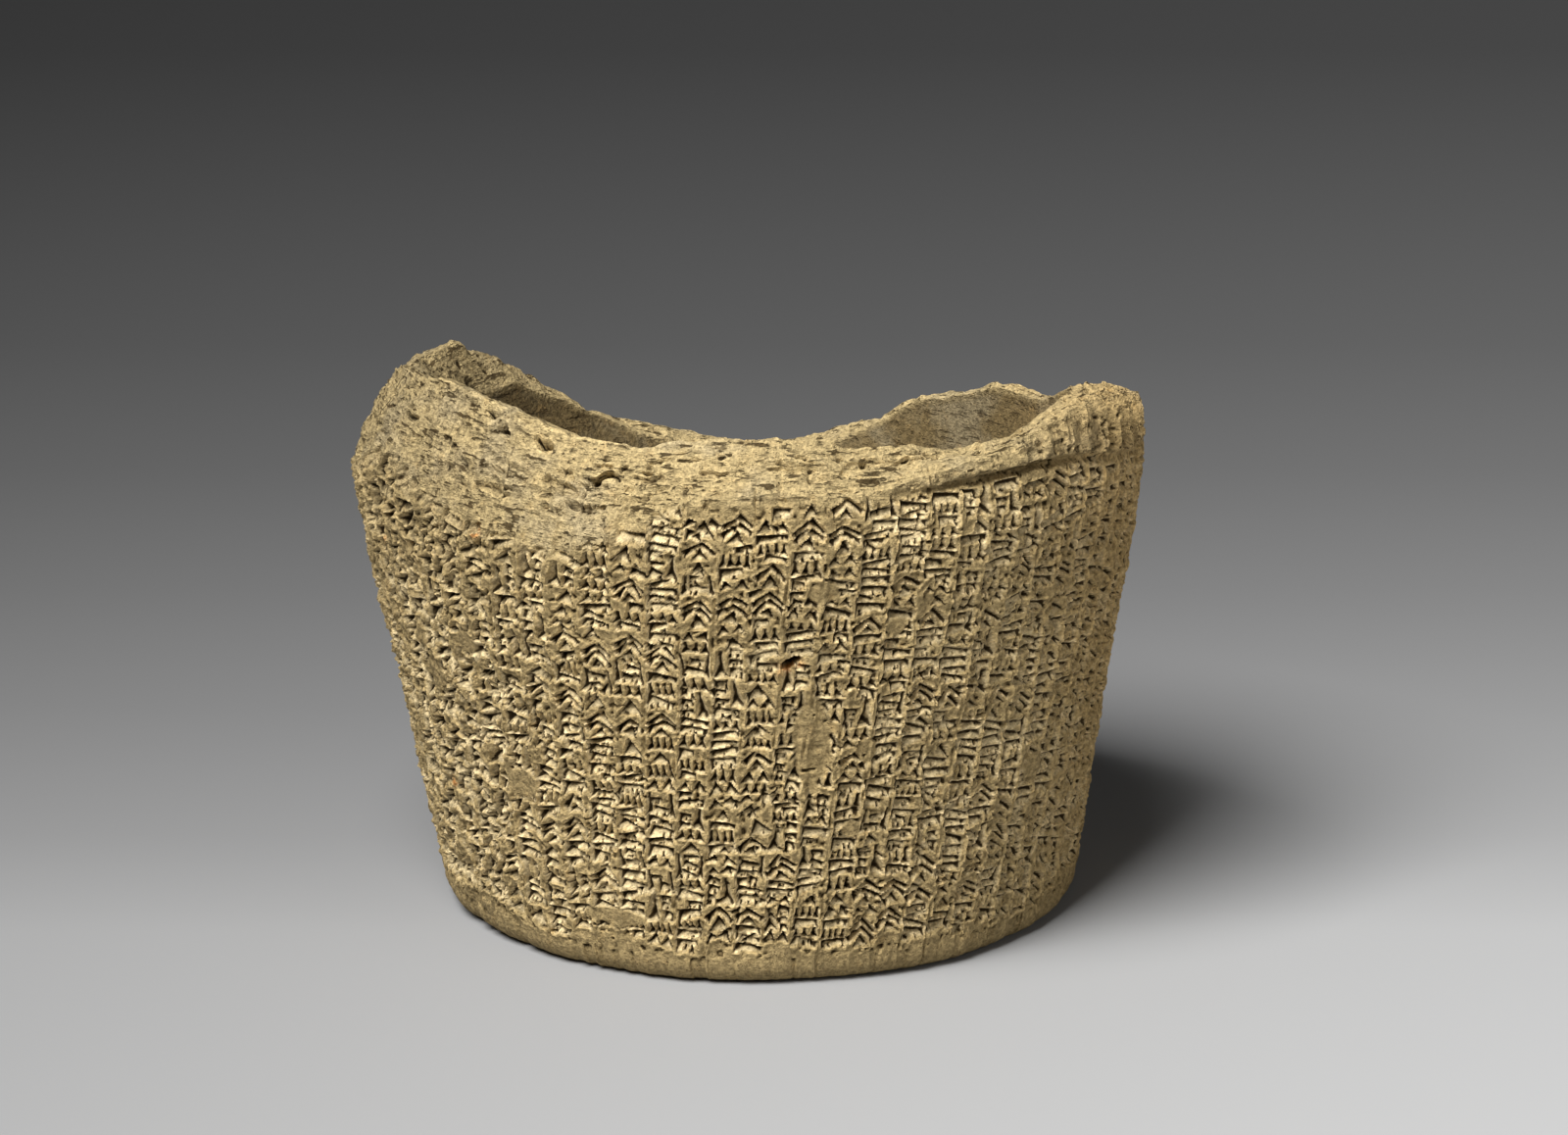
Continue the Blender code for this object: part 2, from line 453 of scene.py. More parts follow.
    def _sign(self, sign: Sign, line: float, height: float, room: float, chance: random.Random) -> float:
        """Adds one group of strokes.

        Args:
            sign: which kind of group.
            line: middle of the line, counted in lines round the wall.
            height: lower edge of the group.
            room: height left in the line.
            chance: the source of variation.

        Returns:
            The height that the group takes.
        """
        used = 0.0
        if sign is Sign.BARS:
            for _ in range(chance.randint(2, 4)):
                if used + 1.2 * MM < room:
                    used += self._bar(line, height + used, 0.90, chance) * 0.94
        elif sign is Sign.COMB:
            used = self._teeth(line, height, chance.choice((3, 3, 4)), chance)
        elif sign is Sign.WEDGE:
            wide = chance.uniform(2.3, 4.1) * MM
            used = self._corner(line + chance.uniform(-0.14, 0.14), height, wide, chance)
        elif sign is Sign.TALL:
            side = chance.choice((-1, 1))
            tall = min(chance.uniform(3.6, 5.2) * MM, room)
            size = (2.4 * MM, tall, 1.7 * MM)
            self._add(StrokeKind.UPRIGHT, line + 0.24 * side, height + tall / 2, size)
            while used + 1.2 * MM < tall:
                used += self._bar(line - 0.2 * side, height + used, 0.42, chance)
            used = tall
        elif sign is Sign.LADDER:
            low = self._bar(line, height, 0.84, chance)
            mid = self._teeth(line, height + low, chance.choice((3, 4)), chance)
            used = low + mid + self._bar(line, height + low + mid, 0.84, chance)
        elif sign is Sign.PAIR:
            for side in (-0.23, 0.23):
                wide = chance.uniform(1.9, 2.4) * MM
                tall = self._corner(line + side, height + chance.uniform(0, 0.5) * MM, wide, chance)
                used = max(used, tall)
        elif sign is Sign.ROOF:
            wide = chance.uniform(2.4, 3.0) * MM
            tall = self._corner(line, height, wide, chance)
            for _ in range(chance.randint(1, 2)):
                for side in (-1, 1):
                    size = (chance.uniform(2.5, 3.4) * MM, 1.3 * MM, chance.uniform(1.3, 2.0) * MM)
                    turn = -side * math.radians(chance.uniform(26, 48))
                    rise = chance.uniform(-0.25, 0.25) * MM
                    self._add(StrokeKind.CROSS, line + 0.2 * side, height + tall * 0.92 + rise, size, turn)
                tall += 1.3 * MM
            used = tall + 0.3 * MM
        elif sign is Sign.BOX:
            tall = min(chance.uniform(3.2, 4.2) * MM, room)
            for side in (-0.36, 0.36):
                self._add(StrokeKind.UPRIGHT, line + side, height + tall / 2, (1.3 * MM, tall, 1.2 * MM))
            while used + 1.1 * MM < tall:
                used += self._bar(line, height + used, 0.66, chance)
            used = tall
        return used


@dataclass(frozen=True)
class Stylus:
    """Unit solids of the reed's marks: their outline at the surface, and the keel below it."""

    overshoot: float = 0.5

    def shapes(self) -> dict:
        """Lists the points and faces of each kind of mark.

        Returns:
            For each kind its keel points, its outline points with the keel point that each falls to, and
            its faces, which name outline points by number and keel points as k and a number.
        """
        cross_keel = ((-0.36, 0.22, -1.0), (0.42, 0.18, -0.50))
        cross_rim = (((-0.5, -0.5), 0), ((0.5, -0.20), 1), ((0.5, 0.33), 1), ((-0.5, 0.5), 0))
        cross_faces = ((0, 1, "k1", "k0"), (1, 2, "k1"), (2, 3, "k0", "k1"), (3, 0, "k0"))
        upright_keel = ((-0.06, -0.24, -1.0), (0.0, 0.02, -0.6), (0.0, 0.42, -0.3))
        upright_rim = (((-0.5, -0.5), 0), ((0.5, -0.5), 0), ((0.26, -0.02), 1), ((0.14, 0.5), 2),
                       ((-0.14, 0.5), 2), ((-0.26, -0.02), 1))
        upright_faces = ((0, 1, "k0"), (1, 2, "k1", "k0"), (2, 3, "k2", "k1"), (3, 4, "k2"),
                         (4, 5, "k1", "k2"), (5, 0, "k0", "k1"))
        corner_keel = ((0.03, 0.27, -1.0),)
        corner_rim = (((-0.5, -0.5), 0), ((0.5, -0.5), 0), ((0.03, 0.5), 0))
        corner_faces = ((0, 1, "k0"), (1, 2, "k0"), (2, 0, "k0"))
        return {
            StrokeKind.CROSS: (cross_keel, cross_rim, cross_faces),
            StrokeKind.UPRIGHT: (upright_keel, upright_rim, upright_faces),
            StrokeKind.CORNER: (corner_keel, corner_rim, corner_faces),
        }

    def build(self) -> bpy.types.Collection:
        """Makes one unit solid for each kind of stroke.

        Returns:
            A collection that isn't linked to the scene, its objects named in the kinds' order.
        """
        tips = bpy.data.collections.new("stylus_tips")
        for kind, (keel, rim, faces) in self.shapes().items():
            points, count = [], len(rim)
            for (x, y), low in rim:
                foot = Vector(keel[low])
                edge = Vector((x, y, 0.0))
                points.append(foot + (edge - foot) * (1.0 + self.overshoot))
            points += [Vector(point) for point in keel]
            rows = [[count + int(c[1]) if isinstance(c, str) else c for c in face] for face in faces]
            mesh = bpy.data.meshes.new(f"stylus_{int(kind)}")
            mesh.from_pydata(points, [], rows)
            tips.objects.link(bpy.data.objects.new(f"stylus_{int(kind)}", mesh))
        return tips


class PressTree:
    """A Geometry Nodes tree that presses stylus marks into a sheet of clay."""

    def __init__(self) -> None:
        """Makes the tree and its named inputs."""
        self.tree = bpy.data.node_groups.new("press_stylus_marks", "GeometryNodeTree")
        self.tree.is_modifier = True
        face = self.tree.interface
        self.sockets = {}
        kinds = (("Sheet", "Geometry"), ("Marks", "Object"), ("Stylus Tips", "Collection"),
                 ("Depth", "Float"), ("Stray", "Float"), ("Burr", "Float"), ("Burr Width", "Float"),
                 ("Reach", "Float"), ("Seed", "Int"), ("Clay", "Material"))
        for name, kind in kinds:
            socket = face.new_socket(name, in_out="INPUT", socket_type=f"NodeSocket{kind}")
            self.sockets[name] = socket.identifier
        face.new_socket("Pressed Sheet", in_out="OUTPUT", socket_type="NodeSocketGeometry")
        self._build()

    def _node(self, kind: str, **settings: object) -> bpy.types.Node:
        """Adds a node with its settings.

        Args:
            kind: Blender's name for the node's type.
            settings: its properties by name.

        Returns:
            The node.
        """
        node = self.tree.nodes.new(kind)
        for name, value in settings.items():
            setattr(node, name, value)
        return node

    def _attribute(self, name: str, kind: str) -> bpy.types.NodeSocket:
        """Reads a named attribute.

        Args:
            name: the attribute's name.
            kind: its data type.

        Returns:
            The socket that gives its value.
        """
        node = self._node("GeometryNodeInputNamedAttribute", data_type=kind)
        node.inputs["Name"].default_value = name
        return node.outputs["Attribute"]

    def _join(self, pairs: tuple) -> None:
        """Links each output to its input."""
        for source, target in pairs:
            self.tree.links.new(source, target)

    def _marks(self, given: bpy.types.Node) -> bpy.types.NodeSocket:
        """Instances a stylus tip on each mark, turned to the wall, and realizes them.

        Args:
            given: the tree's input node.

        Returns:
            The socket that gives the marks as one mesh.
        """
        marks = self._node("GeometryNodeObjectInfo")
        tips = self._node("GeometryNodeCollectionInfo")
        tips.inputs["Separate Children"].default_value = True
        tips.inputs["Reset Children"].default_value = True
        face_out = self._node("FunctionNodeAxesToRotation", primary_axis="Z", secondary_axis="Y")
        stray = self._node("FunctionNodeRandomValue", data_type="FLOAT")
        negative = self._node("ShaderNodeMath", operation="MULTIPLY")
        negative.inputs[1].default_value = -1.0
        turn = self._node("FunctionNodeAxisAngleToRotation")
        turn.inputs["Axis"].default_value = (0.0, 0.0, 1.0)
        rotate = self._node("FunctionNodeRotateRotation", rotation_space="LOCAL")
        deepen = self._node("ShaderNodeCombineXYZ")
        deepen.inputs["X"].default_value = 1.0
        deepen.inputs["Y"].default_value = 1.0
        scale = self._node("ShaderNodeVectorMath", operation="MULTIPLY")
        instances = self._node("GeometryNodeInstanceOnPoints")
        instances.inputs["Pick Instance"].default_value = True
        realize = self._node("GeometryNodeRealizeInstances")
        self._join((
            (given.outputs["Marks"], marks.inputs["Object"]),
            (given.outputs["Stylus Tips"], tips.inputs["Collection"]),
            (self._attribute("outward", "FLOAT_VECTOR"), face_out.inputs["Primary Axis"]),
            (self._attribute("along", "FLOAT_VECTOR"), face_out.inputs["Secondary Axis"]),
            (given.outputs["Stray"], negative.inputs[0]),
            (negative.outputs[0], stray.inputs["Min"]),
            (given.outputs["Stray"], stray.inputs["Max"]),
            (given.outputs["Seed"], stray.inputs["Seed"]),
            (stray.outputs["Value"], turn.inputs["Angle"]),
            (face_out.outputs["Rotation"], rotate.inputs["Rotation"]),
            (turn.outputs["Rotation"], rotate.inputs["Rotate By"]),
            (given.outputs["Depth"], deepen.inputs["Z"]),
            (self._attribute("size", "FLOAT_VECTOR"), scale.inputs[0]),
            (deepen.outputs[0], scale.inputs[1]),
            (marks.outputs["Geometry"], instances.inputs["Points"]),
            (tips.outputs["Instances"], instances.inputs["Instance"]),
            (self._attribute("kind", "INT"), instances.inputs["Instance Index"]),
            (rotate.outputs["Rotation"], instances.inputs["Rotation"]),
            (scale.outputs[0], instances.inputs["Scale"]),
            (instances.outputs["Instances"], realize.inputs["Geometry"]),
        ))
        return realize.outputs["Geometry"]

    def _build(self) -> None:
        """Links the nodes: each point of the sheet moves in to the deepest mark over it."""
        given = self._node("NodeGroupInput")
        result = self._node("NodeGroupOutput")
        marks = self._marks(given)
        place = self._node("GeometryNodeInputPosition")
        outward = self._attribute("outward", "FLOAT_VECTOR")
        back = self._node("ShaderNodeVectorMath", operation="SCALE")
        start = self._node("ShaderNodeVectorMath", operation="SUBTRACT")
        ray = self._node("GeometryNodeRaycast")
        press = self._node("GeometryNodeSetPosition")
        near = self._node("GeometryNodeProximity", target_element="FACES")
        fade = self._node("ShaderNodeMapRange", interpolation_type="SMOOTHSTEP")
        lift = self._node("ShaderNodeVectorMath", operation="SCALE")
        bulge = self._node("GeometryNodeSetPosition")
        missed = self._node("FunctionNodeBooleanMath", operation="NOT")
        realize = self._node("GeometryNodeRealizeInstances")
        dress = self._node("GeometryNodeSetMaterial")
        self._join((
            (outward, back.inputs[0]),
            (given.outputs["Reach"], back.inputs["Scale"]),
            (place.outputs[0], start.inputs[0]),
            (back.outputs[0], start.inputs[1]),
            (marks, ray.inputs["Target Geometry"]),
            (start.outputs[0], ray.inputs["Source Position"]),
            (outward, ray.inputs["Ray Direction"]),
            (given.outputs["Reach"], ray.inputs["Ray Length"]),
            (marks, near.inputs["Geometry"]),
            (near.outputs["Distance"], fade.inputs["Value"]),
            (given.outputs["Burr Width"], fade.inputs["From Max"]),
            (given.outputs["Burr"], fade.inputs["To Min"]),
            (outward, lift.inputs[0]),
            (fade.outputs["Result"], lift.inputs["Scale"]),
            (ray.outputs["Is Hit"], missed.inputs[0]),
            (given.outputs["Sheet"], bulge.inputs["Geometry"]),
            (missed.outputs[0], bulge.inputs["Selection"]),
            (lift.outputs[0], bulge.inputs["Offset"]),
            (bulge.outputs["Geometry"], press.inputs["Geometry"]),
            (ray.outputs["Is Hit"], press.inputs["Selection"]),
            (ray.outputs["Hit Position"], press.inputs["Position"]),
            (press.outputs["Geometry"], realize.inputs["Geometry"]),
            (realize.outputs["Geometry"], dress.inputs["Geometry"]),
            (given.outputs["Clay"], dress.inputs["Material"]),
            (dress.outputs["Geometry"], result.inputs["Pressed Sheet"]),
        ))
        fade.inputs["From Min"].default_value = 0.0
        fade.inputs["To Max"].default_value = 0.0

    def apply(self, sheet: bpy.types.Object, values: dict) -> bpy.types.Mesh:
        """Runs the tree on a sheet.

        Args:
            sheet: the object to press. Its own mesh is left as it was.
            values: a value for each named input.

        Returns:
            The pressed sheet as a plain mesh.
        """
        press = sheet.modifiers.new("press", "NODES")
        press.node_group = self.tree
        for name, value in values.items():
            press[self.sockets[name]] = value
        bpy.context.view_layer.update()
        evaluated = sheet.evaluated_get(bpy.context.evaluated_depsgraph_get())
        mesh = bpy.data.meshes.new_from_object(evaluated)
        sheet.modifiers.remove(press)
        return mesh


@dataclass(frozen=True)
class WornSpot:
    """A bare, chipped or blurred place on the outer wall: azimuth in degrees, the rest in millimetres."""

    azimuth: float
    height: float
    half_width: float
    half_height: float
    depth: float
    roughness: float


@dataclass(frozen=True)
class Hole:
    """A deep hole in the outer wall: azimuth in degrees, the rest in millimetres."""

    azimuth: float
    height: float
    half_width: float
    half_height: float
    depth: float


@dataclass(frozen=True)
class Void:
    """A hole that burnt-out straw left in the broken clay: azimuth in degrees, sizes in millimetres."""

    azimuth: float
    depth_share: float
    half_width: float
    half_height: float
    sink: float


@dataclass
class ClayGrid:
    """The columns round the axis, and the break's height on them, which every surface shares."""

    wall: BarrelWall = field(default_factory=BarrelWall)
    broken: Break = field(default_factory=Break)
    seed: int = 3
    front_columns: int = 21
    back_columns: int = 9
    front: tuple = (math.radians(-105.0), math.radians(100.0))
    quick_columns: tuple = (10, 6)
    ragged: float = 0.0007
    wander: float = 0.0006
    first_edge: float = 0.07
    edge_rounds: int = 12
    noise: ClayNoise = field(init=False)
    lines: Array = field(init=False)
    columns: int = field(init=False)

    def __post_init__(self) -> None:
        self.noise = ClayNoise(self.seed)
        self.lines = self._column_lines()
        self.columns = len(self.lines)

    def _column_lines(self) -> Array:
        """Places the columns, closer together at the front.

        Returns:
            Places counted in text lines, in rising order.
        """
        places = []
        for line in range(self.wall.text_lines):
            middle = wrap(np.array((line + 0.5) * 2.0 * math.pi / self.wall.text_lines))
            seen = self.front[0] < middle < self.front[1]
            count = self.front_columns if seen else self.back_columns
            places += [line + step / count for step in range(count)]
        return np.array(places)

    def column_angles(self) -> Array:
        """The azimuth of each grid column at the foot."""
        return self.lines * 2.0 * math.pi / self.wall.text_lines

    def azimuths(self, height: Array) -> Array:
        """Azimuth of each column at each height: the text lines' slant and their slight wander.

        Args:
            height: an array of shape (rows, columns).

        Returns:
            Azimuths in the same shape.
        """
        angle = np.broadcast_to(self.column_angles(), height.shape)
        seen = np.stack([np.sin(angle) * 2.5, np.cos(angle) * 2.5, height / 0.02], axis=-1)
        wander = self.wander * self.noise.at(seen, 0.6, 2)
        return angle + self.wall.slant(height) + wander / self.wall.base_radius

    def edge_heights(self) -> Array:
        """Height of the break's outer edge in each column, found in a few rounds.

        Returns:
            Heights in metres.
        """
        height = np.full((1, self.columns), self.first_edge)
        for _ in range(self.edge_rounds):
            azimuth = self.azimuths(height)
            height = self.break_heights(azimuth, np.zeros_like(height))
        return height[0]

    def break_heights(self, azimuth: Array, depth: Array) -> Array:
        """Height of the broken surface with its coarse unevenness.

        Args:
            azimuth: angles in radians.
            depth: 0 at the outer face of the wall, 1 at the inner face.

        Returns:
            Heights in metres.
        """
        height = self.broken.height(azimuth, depth)
        points = self.wall.place(azimuth, self.wall.belly_radius - depth * self.wall.thickness, height)
        ragged = self.ragged * self.noise.at(points, 0.0065, 3)
        return np.minimum(height + ragged, self.broken.peak - self.broken.top_margin)


@dataclass
class ClaySurface:
    """One surface of the clay, on the columns that all its surfaces share."""

    grid: ClayGrid

    @property
    def wall(self) -> BarrelWall:
        """The thrown wall's sizes."""
        return self.grid.wall

    @property
    def noise(self) -> ClayNoise:
        """The clay's unevenness."""
        return self.grid.noise


@dataclass
class OuterWall(ClaySurface):
    """The outer face: its rules, strokes, ledge, facets, worn places and holes."""

    rows: int = 290
    quick_rows: int = 170
    text_inset: float = 0.00030
    rule_depth: float = 0.00022
    rule_ridge: float = 0.00020
    ledge_lip: float = 0.0006
    ledge_cut: float = 0.0022
    facet_faint: float = 0.0009
    facet_deep: float = 0.0013
    stroke_depth: float = 1.15
    stroke_stray: float = math.radians(9.0)
    burr: float = 0.00022
    burr_width: float = 0.0007
    reach: float = 0.004
    wear: float = 0.30
    lump: float = 0.00016
    left_lump: float = 0.00020
    left_hollow: float = 0.0005
    crumb: float = 0.00026
    pock: float = 0.00042
    edge_chip: float = 0.0008
    straw_hole: float = 0.0006
    spots: tuple = (
        WornSpot(9.5, 40.5, 3.0, 7.2, 0.55, 0.16),
        WornSpot(11.0, 65.6, 2.2, 2.0, 0.15, 0.05),
        WornSpot(18.0, 39.0, 1.6, 2.2, 0.20, 0.05),
        WornSpot(22.0, 59.0, 1.8, 1.5, 0.15, 0.04),
        WornSpot(16.0, 26.0, 1.7, 1.6, 0.20, 0.05),
        WornSpot(-40.0, 30.0, 3.4, 2.6, 0.15, 0.06),
        WornSpot(-47.0, 52.0, 2.2, 2.0, 0.15, 0.06),
        WornSpot(-58.0, 44.0, 3.0, 4.0, 0.35, 0.25),
        WornSpot(-25.0, 10.0, 5.0, 1.6, 0.10, 0.12),
        WornSpot(52.0, 30.0, 2.2, 3.0, 0.25, 0.18),
        WornSpot(128.0, 40.0, 4.0, 7.0, 0.45, 0.20),
        WornSpot(-150.0, 34.0, 6.0, 4.0, 0.50, 0.25),
        WornSpot(170.0, 22.0, 3.0, 5.0, 0.40, 0.20),
    )
    holes: tuple = (
        Hole(6.0, 54.3, 1.6, 0.8, 4.2),
        Hole(-41.6, 71.6, 0.55, 0.8, 2.6),
        Hole(-67.4, 65.1, 0.5, 1.2, 2.2),
        Hole(-60.0, 26.0, 0.5, 0.4, 1.2),
        Hole(141.0, 52.0, 1.4, 0.8, 3.0),
    )
    pressed: Array = field(default=None, init=False)
    stain: Array = field(default=None, init=False)
    inset: Array = field(default=None, init=False)

    def build(self, finish: bpy.types.Material) -> tuple:
        """Draws, presses and wears the wall, and keeps its masks in pressed, stain and inset.

        Args:
            finish: the clay's material, which the pressed sheet is dressed in.

        Returns:
            The azimuths and the points of the finished wall, rows going up.
        """
        azimuth, height, radius = self.surface()
        sheet = self.sheet(azimuth, height, radius)
        strokes = Scribe(self.wall).write()
        log.info("strokes laid out: %d", len(strokes))
        pressed = self.press(sheet, strokes, height.shape, finish)
        shift = self.wall.lean * pressed[..., 2]
        found = np.hypot(pressed[..., 0] - shift, pressed[..., 1])
        worn = self.weather(azimuth, height, radius, radius - found)
        self.inset = radius - worn
        return azimuth, self.wall.place(azimuth, worn, height)

    def surface(self) -> tuple:
        """The smooth outer wall from the foot to the break.

        Returns:
            Azimuths, heights and radii, each of shape (rows, columns), rows going up.
        """
        top = self.grid.edge_heights()
        rows = self.rows
        share = np.linspace(0.0, 1.0, rows)[:, None]
        height = self.wall.foot_round + (top[None, :] - self.wall.foot_round) * share
        azimuth = self.grid.azimuths(height)
        angle = np.broadcast_to(self.grid.column_angles(), height.shape)
        radius = self.wall.radius(height) + self._lumps(angle, height)
        radius += self._rulings(height) + self._divider(azimuth, height)
        return azimuth, height, radius

    def _lumps(self, angle: Array, height: Array) -> Array:
        """The same broad unevenness as the solid has.

        Args:
            angle: azimuths of the columns at the foot.
            height: heights of the same points, in metres.

        Returns:
            How far the wall stands out.
        """
        radius = self.wall.radius(height)
        points = np.stack([radius * np.sin(angle), -radius * np.cos(angle), height], axis=-1)
        scale = 1.0 / self.wall.lump_size
        flat = (points.reshape(-1, 3) * scale).tolist()
        lumps = np.array([noise.noise(point) for point in flat]).reshape(height.shape)
        return self.wall.lumps * lumps

    def _rulings(self, height: Array) -> Array:
        """The incised rule between two text lines, with a fine ridge on each side.

        Args:
            height: heights of the wall's points, in metres.

        Returns:
            How far the wall stands out.
        """
        away = np.abs(self.grid.lines - np.round(self.grid.lines))[None, :] * self.wall.line_pitch(height)
        groove = np.exp(-((away / 0.00020) ** 2))
        ridge = np.exp(-(((away - 0.00050) / 0.00022) ** 2))
        angle = np.broadcast_to(self.grid.column_angles(), height.shape)
        places = np.stack([np.sin(angle) * 20.0, np.cos(angle) * 20.0, height / 0.0045], axis=-1)
        drawn = smooth_step(-0.15, 0.35, self.noise.at(places, 1.0, 2))
        band = smooth_step(0.0006, 0.0013, away) * smooth_step(0.0050, 0.0070, height)
        closing = self.wall.divider_height(wrap(angle + self.wall.slant(height)))
        band = band * (1.0 - smooth_step(-0.0048, -0.0016, height - closing))
        return (self.rule_ridge * ridge - self.rule_depth * groove) * drawn - self.text_inset * band

    def _divider(self, azimuth: Array, height: Array) -> Array:
        """The ledge that closes the text, and the fluted band above it.

        Args:
            azimuth: azimuths in radians, one for each point.
            height: heights of the same points, in metres.

        Returns:
            How far the wall stands out.
        """
        turned = wrap(azimuth)
        places = np.stack([np.sin(turned) * 9.0, np.cos(turned) * 9.0, height / 0.006], axis=-1)
        ragged = self.noise.at(places, 1.0, 3)
        line = self.wall.divider_height(turned) + 0.0006 * ragged
        above = self.grid.broken.height(turned, np.zeros_like(height)) - line
        share = smooth_step(0.0, 0.003, above)
        groove = np.exp(-(((height - line + 0.0007) / 0.00075) ** 2))
        lip = smooth_step(-0.00025, 0.00015, height - line) * (1 - smooth_step(0.001, 0.005, height - line))
        flutes = self._flutes(turned, height, line, ragged)
        cut = (self.ledge_cut + 0.0018 * ragged) * (1.0 - 0.85 * smooth_step(50.0, 66.0, np.degrees(turned)))
        return share * (self.ledge_lip * lip * (0.8 + 0.6 * ragged) - cut * groove) + flutes

    def _flutes(self, turned: Array, height: Array, line: Array, ragged: Array) -> Array:
        """The scraped facets above the ledge: broad and faint in the middle, deep at the right.

        Args:
            turned: azimuths from -pi to pi.
            height: heights of the same points, in metres.
            line: the ledge's height at each point.
            ragged: noise from -1 to 1 at each point.

        Returns:
            How far the wall stands out.
        """
        degrees = np.degrees(turned)
        saw = np.abs((self.grid.lines[None, :] + 0.10 * ragged) % 1.0 - 0.5) * 2.0
        faint = smooth_step(36.0, 44.0, degrees) * (1.0 - smooth_step(98.0, 104.0, degrees))
        deep = smooth_step(60.0, 68.0, degrees) * (1.0 - smooth_step(94.0, 100.0, degrees))
        ribs = (self.facet_faint * faint + self.facet_deep * deep) * (smooth_step(0.40, 0.95, saw) - 0.95)
        return ribs * smooth_step(0.0002, 0.0010, height - line)

    def sheet(self, azimuth: Array, height: Array, radius: Array) -> bpy.types.Object:
        """Makes the outer wall as an open mesh that carries its outward directions.

        Args:
            azimuth: azimuths in radians, one for each point.
            height: heights of the same points, in metres.
            radius: their distances from the axis.

        Returns:
            The sheet's object.
        """
        rows, columns = height.shape
        points = self.wall.place(azimuth, radius, height)
        mesh = bpy.data.meshes.new("wall_sheet")
        mesh_from_arrays(mesh, points.reshape(-1, 3), ring_quads(rows, columns))
        outward = mesh.attributes.new("outward", "FLOAT_VECTOR", "POINT")
        outward.data.foreach_set("vector", self.outward(azimuth, height).astype(np.float32).ravel())
        sheet = bpy.data.objects.new("wall_sheet", mesh)
        bpy.context.scene.collection.objects.link(sheet)
        return sheet

    def outward(self, azimuth: Array, height: Array) -> Array:
        """Unit normals of the smooth wall.

        Args:
            azimuth: azimuths in radians, one for each point.
            height: heights of the same points, in metres.

        Returns:
            Directions of shape (..., 3).
        """
        flare = (self.wall.belly_radius - self.wall.base_radius) / self.wall.belly_height
        slope = np.where(height < self.wall.belly_height, flare, 0.0)
        normal = np.stack([np.sin(azimuth), -np.cos(azimuth), -slope], axis=-1)
        return normal / np.linalg.norm(normal, axis=-1, keepdims=True)

    def marks(self, strokes: list) -> bpy.types.Object:
        """Makes a point for each stroke, with its direction, size and kind as attributes.

        Args:
            strokes: the scribe's strokes.

        Returns:
            The points' object.
        """
        height = np.array([stroke.height for stroke in strokes])
        line = np.array([stroke.line for stroke in strokes])
        angle = line * 2.0 * math.pi / self.wall.text_lines
        azimuth = angle + self.wall.slant(height)
        radius = self.wall.radius(height) + self._lumps(angle, height) - self.text_inset
        points = self.wall.place(azimuth, radius, height)
        outward = self.outward(azimuth, height)
        side = np.stack([np.cos(azimuth), np.sin(azimuth), np.zeros_like(azimuth)], axis=-1)
        up = np.cross(outward, side)
        turn = np.array([stroke.turn for stroke in strokes])[:, None]
        along = up * np.cos(turn) - side * np.sin(turn)
        size = np.array([(stroke.width, stroke.length, stroke.depth) for stroke in strokes])
        mesh = bpy.data.meshes.new("stroke_marks")
        mesh.from_pydata(points.tolist(), [], [])
        for name, values in (("outward", outward), ("along", along), ("size", size)):
            store = mesh.attributes.new(name, "FLOAT_VECTOR", "POINT")
            store.data.foreach_set("vector", values.astype(np.float32).ravel())
        kinds = mesh.attributes.new("kind", "INT", "POINT")
        kinds.data.foreach_set("value", np.array([int(stroke.kind) for stroke in strokes], np.int32))
        marks = bpy.data.objects.new("stroke_marks", mesh)
        bpy.context.scene.collection.objects.link(marks)
        return marks

    def press(self, sheet: bpy.types.Object, strokes: list, shape: tuple,
              finish: bpy.types.Material) -> Array:
        """Presses the strokes into the sheet, and clears away what it used.

        Args:
            sheet: the wall's open sheet.
            strokes: the scribe's strokes.
            shape: rows and columns of the sheet.
            finish: the clay's material.

        Returns:
            The pressed points, of shape (rows, columns, 3).
        """
        marks = self.marks(strokes)
        tips = Stylus().build()
        pressed = PressTree().apply(sheet, {
            "Marks": marks, "Stylus Tips": tips, "Depth": self.stroke_depth, "Stray": self.stroke_stray,
            "Burr": self.burr, "Burr Width": self.burr_width, "Reach": self.reach, "Seed": self.grid.seed,
            "Clay": finish,
        })
        points = mesh_points(pressed).reshape(*shape, 3)
        for thing in (sheet, marks, *tips.objects):
            bpy.data.objects.remove(thing, do_unlink=True)
        bpy.data.collections.remove(tips)
        return points

    def weather(self, azimuth: Array, height: Array, smooth: Array, inset: Array) -> Array:
        """Wears the pressed wall: blurs it, chips it and roughens it.

        Args:
            azimuth: azimuths of the grid.
            height: heights of the grid.
            smooth: radii of the wall before it was pressed.
            inset: how far each point was pressed in.

        Returns:
            The worn radii.
        """
        around = self.wall.place(azimuth, smooth, height)
        softer = blurred(inset, 1)
        soft = blurred(softer, 2)
        patchy = smooth_step(0.0, 0.7, self.noise.at(around, 0.014, 2))
        worn_left = smooth_step(-0.35, -0.9, wrap(azimuth)) * (wrap(azimuth) < 0)
        wear = self.wear * patchy
        inset = inset * (1.0 - wear) + soft * wear
        inset = self._grained(inset, around, worn_left, wear)
        below = height[-1:] - height
        fade = np.exp(-((below / 0.0007) ** 2))
        inset = inset * (1.0 - fade) + blurred(soft, 8) * fade
        inset = inset + self._chips(around, below)
        high_left = worn_left * smooth_step(0.052, 0.068, height)
        self.pressed = smooth_step(0.00008, 0.00030, softer) * (1.0 - fade) * (1.0 - 0.7 * high_left)
        self.stain = np.zeros_like(inset)
        for spot in self.spots:
            inset = self._spot(spot, azimuth, height, around, inset)
        return smooth - self._holes(azimuth, height, around, inset)

